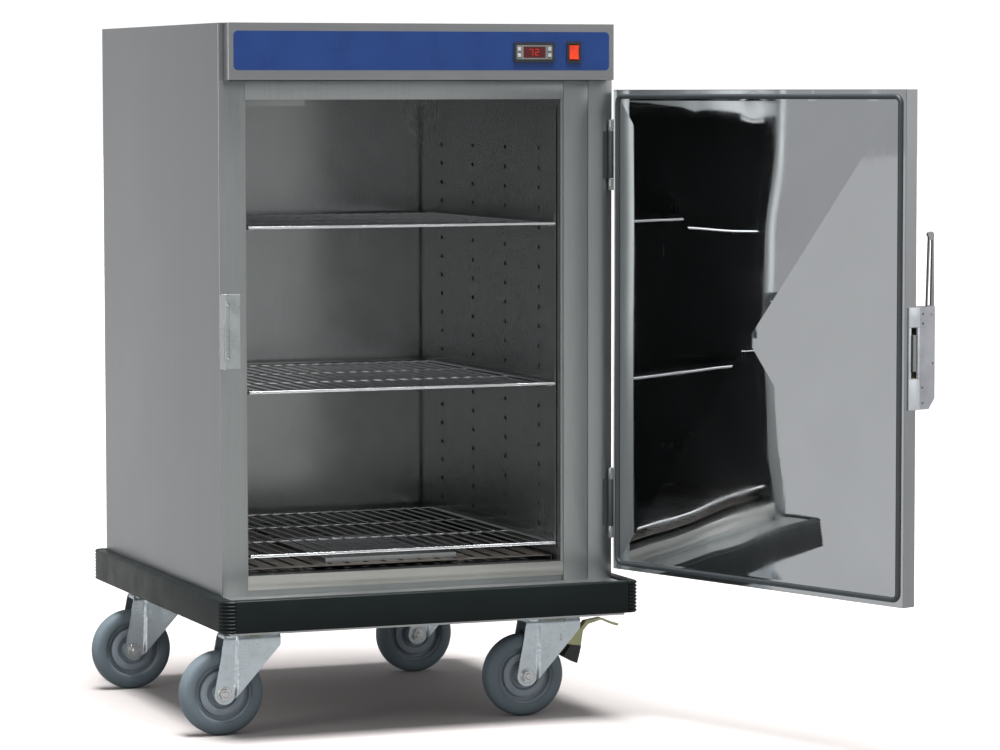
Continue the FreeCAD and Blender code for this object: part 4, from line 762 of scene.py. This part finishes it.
def make_door_panel():
    """The mirror sheet: a flat rim, then four facets that rise to the middle, a little uneven."""
    low, high = span("door_inner_panel", DOOR)
    face = low.y + 1
    rise = high.y - face
    rim = 18.5
    columns = 40
    rings = 30
    centre = Vector(((low.x + high.x) / 2, 0, (low.z + high.z) / 2))

    def loop(share_x, share_z, height):
        half_x = (high.x - low.x) / 2 * share_x
        half_z = (high.z - low.z) / 2 * share_z
        corners = [(-half_x, -half_z), (half_x, -half_z), (half_x, half_z), (-half_x, half_z)]
        points = []
        for index, (x, z) in enumerate(corners):
            next_x, next_z = corners[(index + 1) % 4]
            for step in range(columns):
                part = step / columns
                place = (centre.x + x + (next_x - x) * part, centre.z + z + (next_z - z) * part)
                points.append((place[0], face + height + ripple(place, height / rise), place[1]))
        return points

    def ripple(place, share):
        """Shallow waves that die out at the rim."""
        strength = min(1, share * 4)
        wave = noise.noise(Vector((place[0] / 230, 3.7, place[1] / 300)))
        fine = noise.noise(Vector((place[0] / 90, 8.1, place[1] / 120)))
        buckled = max(0, 1 - (place[1] - low.z) / 170)
        fine *= 0.12 + 0.5 * buckled
        dents = 0
        for number in range(5):
            dent = Vector((low.x + (0.1 + 0.2 * number) * (high.x - low.x), high.z - 26))
            away = (dent - Vector(place)).length
            dents += 0.5 * math.exp(-((away / 16) ** 2))
        return strength * (0.9 * wave + fine) - dents

    base_x = 1 - 2 * rim / (high.x - low.x)
    base_z = 1 - 2 * rim / (high.z - low.z)
    form = bmesh.new()
    loops = [loop(1, 1, 0), loop(base_x, base_z, 0)]
    for ring in range(1, rings):
        share = 1 - ring / rings
        loops.append(loop(base_x * share, base_z * share, rise * (1 - share)))
    made = skin(form, loops)
    top = form.verts.new((centre.x, face + rise, centre.z))
    last = made[-1]
    for index in range(len(last)):
        form.faces.new((last[index], last[(index + 1) % len(last)], top))
    edge = [form.verts.new((vertex.co.x, low.y, vertex.co.z)) for vertex in made[0]]
    for index in range(len(edge)):
        after = (index + 1) % len(edge)
        form.faces.new((made[0][after], made[0][index], edge[index], edge[after]))
    form.edges.ensure_lookup_table()
    for corner in range(4):
        spoke = [ring[corner * columns] for ring in made[1:]] + [top]
        for first, second in zip(spoke, spoke[1:]):
            form.edges.get((first, second)).smooth = False
    for ring in made[:2]:
        for index in range(len(ring)):
            form.edges.get((ring[index], ring[(index + 1) % len(ring)])).smooth = False
    panel = piece(
        "door_mirror_sheet", form, finishes["mirror_steel"], "door", DOOR, None
    )
    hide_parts("door_inner_panel")


def make_gasket():
    """A hollow-section rubber ring with a rounded crown between two thin lips."""
    low, high = span("door_gasket", DOOR)
    wide = 9
    corner = 16
    section = [(0, 0), (0, 1.1), (0.8, 1.5), (0.9, 2.6), (1.5, 3.7), (2.8, 4.4), (4.5, 4.5)]
    section += [(wide - inset, height) for inset, height in reversed(section[:-1])]
    loops = []
    for inset, height in section:
        outline = rounded_rectangle(
            (low.x + inset, low.z + inset), (high.x - inset, high.z - inset), corner - inset, 10
        )
        loops.append([(x, low.y + height, z) for x, z in outline])
    form = bmesh.new()
    skin(form, loops + [loops[0]])
    bmesh.ops.remove_doubles(form, verts=form.verts, dist=0.001)
    ring = piece("door_seal", form, finishes["gasket_rubber"], "door", DOOR)
    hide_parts("door_gasket")


def make_latch_details():
    """Small screws on the latch body's side, and rounded edges on the pressed parts."""
    side = span("latch_body", DOOR)[0].x
    form = bmesh.new()
    places = ((-50, 510), (-50, 494), (-74, 427), (-49, 387), (-50, 361))
    for y, z in places:
        screw_head(form, (side, y, z), "-x", 2.2, 0.8)
    piece("latch_screws", form, finishes["dark_screw"], "door", DOOR)
    make_bracket_pads()
    soften("latch_body", 3.0)
    soften("latch_bracket", 0.6)
    soften("latch_lever", 1.0)
    soften("latch_tongue", 0.5)
    soften("latch_keeper", 0.4)
    soften("hinge_frame_leaves", 0.5)
    soften("hinge_door_leaves", 0.4)


def make_bracket_pads():
    """Raised cheeks on the bracket, above, below and beside the tongue's window."""
    low, high = span("latch_bracket", DOOR)
    window = (403, 488)
    edge = 3.4
    form = bmesh.new()
    for z_low, z_high in ((low.z + 0.5, window[0] - 1), (window[1] + 1, high.z - 0.5)):
        block(form, (low.x - 1.2, low.y + 0.8, z_low), (low.x + 0.3, high.y - 0.8, z_high), 0.8)
    for y in (low.y + edge, high.y - edge):
        block(form, (low.x - 0.9, y - 2.2, window[0]), (low.x + 0.3, y + 2.2, window[1]), 0.6)
    piece("bracket_cheeks", form, finishes["satin_plate"], "door", DOOR)


# ---------------------------------------------------------------- castors

ENDS = ("front", "back")
SIDES = ("left", "right")


def castor_frame(end, side):
    """A castor's own frame, from the floor under its swivel axis, with x away from the wheel."""
    swivel = Vector(JOINTS[f"swivel_{end}_{side}"]["pos_m"])
    axle = Vector(JOINTS[f"wheel_{end}_{side}_spin"]["pos_m"])
    away = swivel - axle
    turn = math.atan2(away.y, away.x)
    place = Matrix.Translation((swivel.x, swivel.y, 0)) @ Matrix.Rotation(turn, 4, "Z")
    return place @ Matrix.Scale(MM, 4)


def make_wheel(end, side):
    place = castor_frame(end, side)
    low, high = span(f"tyre_{end}_{side}", place)
    centre = (low + high) / 2
    radius = (high.z - low.z) / 2
    half = (high.y - low.y) / 2
    rim = 51
    tyre = [(rim, half - 2.5), (rim + 1.5, half - 0.8), (rim + 4, half), (radius - 13, half)]
    tyre += [(radius - 7, half - 1.2), (radius - 3, half - 4), (radius - 0.8, half - 8)]
    tyre += [(radius, half - 13)]
    tyre += [(r, -y) for r, y in reversed(tyre)]
    form = bmesh.new()
    lathe(form, tyre, centre, "y", 96)
    ring = piece(f"tyre_tread_{end}_{side}", form, finishes["tyre_grey"], f"wheel_{end}_{side}",
                 place, 50)
    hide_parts(f"tyre_{end}_{side}")
    # A boss, a groove round it, a crowned ring, a second groove and the rim.
    hub = [(6.3, 20), (15, 20), (16.5, 18.6), (17.5, 12.5), (19, 4.5), (25, 4.5), (28, 11.2)]
    hub += [(33, 12.6), (38, 12.2), (40.5, 11), (42, 4.2), (47.8, 4.2)]
    hub += [(49, 12), (50, 14.6), (rim, 15)]
    hub += [(r, -y) for r, y in reversed(hub)]
    form = bmesh.new()
    lathe(form, hub, centre, "y", 96)
    core = piece(f"hub_core_{end}_{side}", form, finishes["hub_plastic"], f"wheel_{end}_{side}",
                 place, 50)
    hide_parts(f"hub_{end}_{side}")


# The fork's reach before and behind the swivel axis, the radius of its foot round the axle,
# and the heights of its top and of the corner where its front edge turns inwards.
FORK_FRONT = 47
FORK_BACK = 55
FORK_FOOT = 19
FORK_TOP = 177.6
FORK_KNEE = 158
FORK_INSIDE = 21


def fork_leg(form, side, trail, axle):
    """One pressed leg: a flat rear strip, an upright step, then a face that bulges outwards."""
    thick = 3.2
    step = 6.2
    rows, columns = 36, 64
    inner = []
    outer = []
    for row in range(rows + 1):
        z = axle - FORK_FOOT + (FORK_TOP - axle + FORK_FOOT) * (row / rows) ** 1.25
        above = max(0, z - axle) / (FORK_TOP - axle)
        left = -trail - FORK_FOOT + (trail + FORK_FOOT - FORK_BACK) * above
        start = axle - 0.78 * FORK_FOOT
        foot = -trail + 0.63 * FORK_FOOT
        slant = foot + (FORK_FRONT - foot) * ((z - start) / (FORK_KNEE - start))
        right = min(max(slant, -trail), FORK_FRONT)
        if z < axle:
            reach = math.sqrt(max(0, FORK_FOOT ** 2 - (axle - z) ** 2))
            left = -trail - reach
            right = max(-trail + reach, slant) if z > start else -trail + reach
        ridge = -33 - (FORK_TOP - z) * 0.03
        inner_row = []
        outer_row = []
        for column in range(columns + 1):
            x = left + (right - left) * column / columns
            share = min(1, max(0, (x - ridge + 1.8) / 3.6))
            rise = step * share * share * (3 - 2 * share)
            fall = 0.05 * max(0, x - ridge - 6)
            shoulder = max(0, z - (FORK_TOP - 7)) ** 2 / 14
            y = FORK_INSIDE + rise - fall - shoulder
            inner_row.append((x, side * y, z))
            outer_row.append((x, side * (y + thick), z))
        inner.append(inner_row)
        outer.append(outer_row)
    first = skin(form, inner, closed=False)
    second = skin(form, outer, closed=False)
    for index in range(rows):
        for column in (0, columns):
            form.faces.new((first[index][column], first[index + 1][column],
                            second[index + 1][column], second[index][column]))
    for index in range(columns):
        for row in (0, rows):
            form.faces.new((first[row][index], first[row][index + 1],
                            second[row][index + 1], second[row][index]))
    bmesh.ops.remove_doubles(form, verts=form.verts, dist=0.01)


def hexagon(centre, radius):
    return arc(centre, radius, 0, 300, 5)


def make_fork(end, side):
    place = castor_frame(end, side)
    body = f"swivel_{end}_{side}"
    low, high = span(f"tyre_{end}_{side}", place)
    trail = -(low.x + high.x) / 2
    axle = (low.z + high.z) / 2
    form = bmesh.new()
    for face in (-1, 1):
        fork_leg(form, face, trail, axle)
    crown = rounded_rectangle((-FORK_BACK, -24), (FORK_FRONT, 24), 9, 5)
    prism(form, "z", crown, FORK_TOP - 6.2, FORK_TOP, 1.6)
    name = f"fork_pressing_{end}_{side}"
    fork = piece(name, form, finishes["zinc_plate"], body, place)
    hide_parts(f"fork_{end}_{side}")
    form = bmesh.new()
    for face in (-1, 1):
        near, far = sorted((face * 25.5, face * 31))
        prism(form, "y", hexagon((-trail, axle), 9.4), near, far, 0.9)
        washer = [(0.2, 24.4), (13, 24.4), (13, 25.2), (12.4, 25.9), (0.2, 25.9)]
        ring = [(radius, face * along) for radius, along in washer]
        lathe(form, ring, (-trail, 0, axle), "y", 32)
    end_rod = [(0.2, 31), (5.5, 31), (6, 30.4), (6, -33), (5, -33.8), (0.2, -33.8)]
    lathe(form, end_rod, (-trail, 0, axle), "y", 24)
    lathe(form, [(0.2, 164), (6, 165), (6, 172), (0.2, 172)], (0, 0, 0), "z", 20)
    prism(form, "z", hexagon((0, 0), 11), 165.5, 171, 0.8)
    if (end, side) == ("front", "right"):
        add_brake_rivets(form)
    piece(f"axle_bolt_{end}_{side}", form, finishes["bolt_steel"], body, place)


def add_brake_rivets(form):
    """Two small rivet heads on the braked fork's near leg, beside the brake's pivot."""
    head = [(0.2, -30.5), (1.6, -30.3), (2.6, -29.4), (2.8, -28), (0.2, -28)]
    for x, z in ((9, 146), (9.6, 138)):
        lathe(form, head, (x, 0, z), "y", 16)


PLATE_TOP = 190
PLATE_HALF_X, PLATE_HALF_Y = 50, 42
BOLT_X, BOLT_Y = 38, 30


def make_castor_tops():
    """Top plates with rounded corners, swivel races with a dust lip, and hexagon bolts."""
    plates = bmesh.new()
    races = bmesh.new()
    for end in ENDS:
        for side in SIDES:
            swivel = Vector(JOINTS[f"swivel_{end}_{side}"]["pos_m"])
            centre = TO_ROW.inverted() @ Vector((swivel.x, swivel.y, 0))
            top = PLATE_TOP + centre.z
            low = (centre.x - PLATE_HALF_X, centre.y - PLATE_HALF_Y)
            high = (centre.x + PLATE_HALF_X, centre.y + PLATE_HALF_Y)
            washer = [(0.2, top - 5.4), (8.5, top - 5.4), (8.5, top - 3.4), (0.2, top - 3.4)]
            prism(plates, "z", rounded_rectangle(low, high, 8, 5), top - 3.6, top, 0.8)
            for x in (-BOLT_X, BOLT_X):
                for y in (-BOLT_Y, BOLT_Y):
                    corner = (centre.x + x, centre.y + y)
                    lathe(plates, washer, (*corner, 0), "z", 24)
                    prism(plates, "z", hexagon(corner, 6.4), top - 9, top - 5.2, 0.6)
            race = [(8, top - 12), (33, top - 12), (36, top - 10.6), (37, top - 8.6), (35, top - 8)]
            race += [(35, top - 6.6), (38.5, top - 6), (39, top - 4.6), (37, top - 3.5)]
            race += [(8, top - 3.5)]
            lathe(races, race, (centre.x, centre.y, 0), "z", 48)
    plate = piece("castor_top_plates", plates, finishes["zinc_plate"], "cabinet")
    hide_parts("castor_plates")
    piece("castor_races", races, finishes["race_zinc"], "cabinet")


def make_castors():
    for end in ENDS:
        for side in SIDES:
            make_wheel(end, side)
            make_fork(end, side)
    make_castor_tops()
    soften("brake_pedal", 0.6)
    soften("brake_pad", 1.2)


make_camera()
make_floor()
make_studio()
finishes = make_finishes()
dress_nodes(finishes)
make_side_panels()
make_front_frame()
make_bumper()
make_screws()
make_controller()
make_rocker()
make_door_panel()
make_gasket()
make_latch_details()
make_castors()
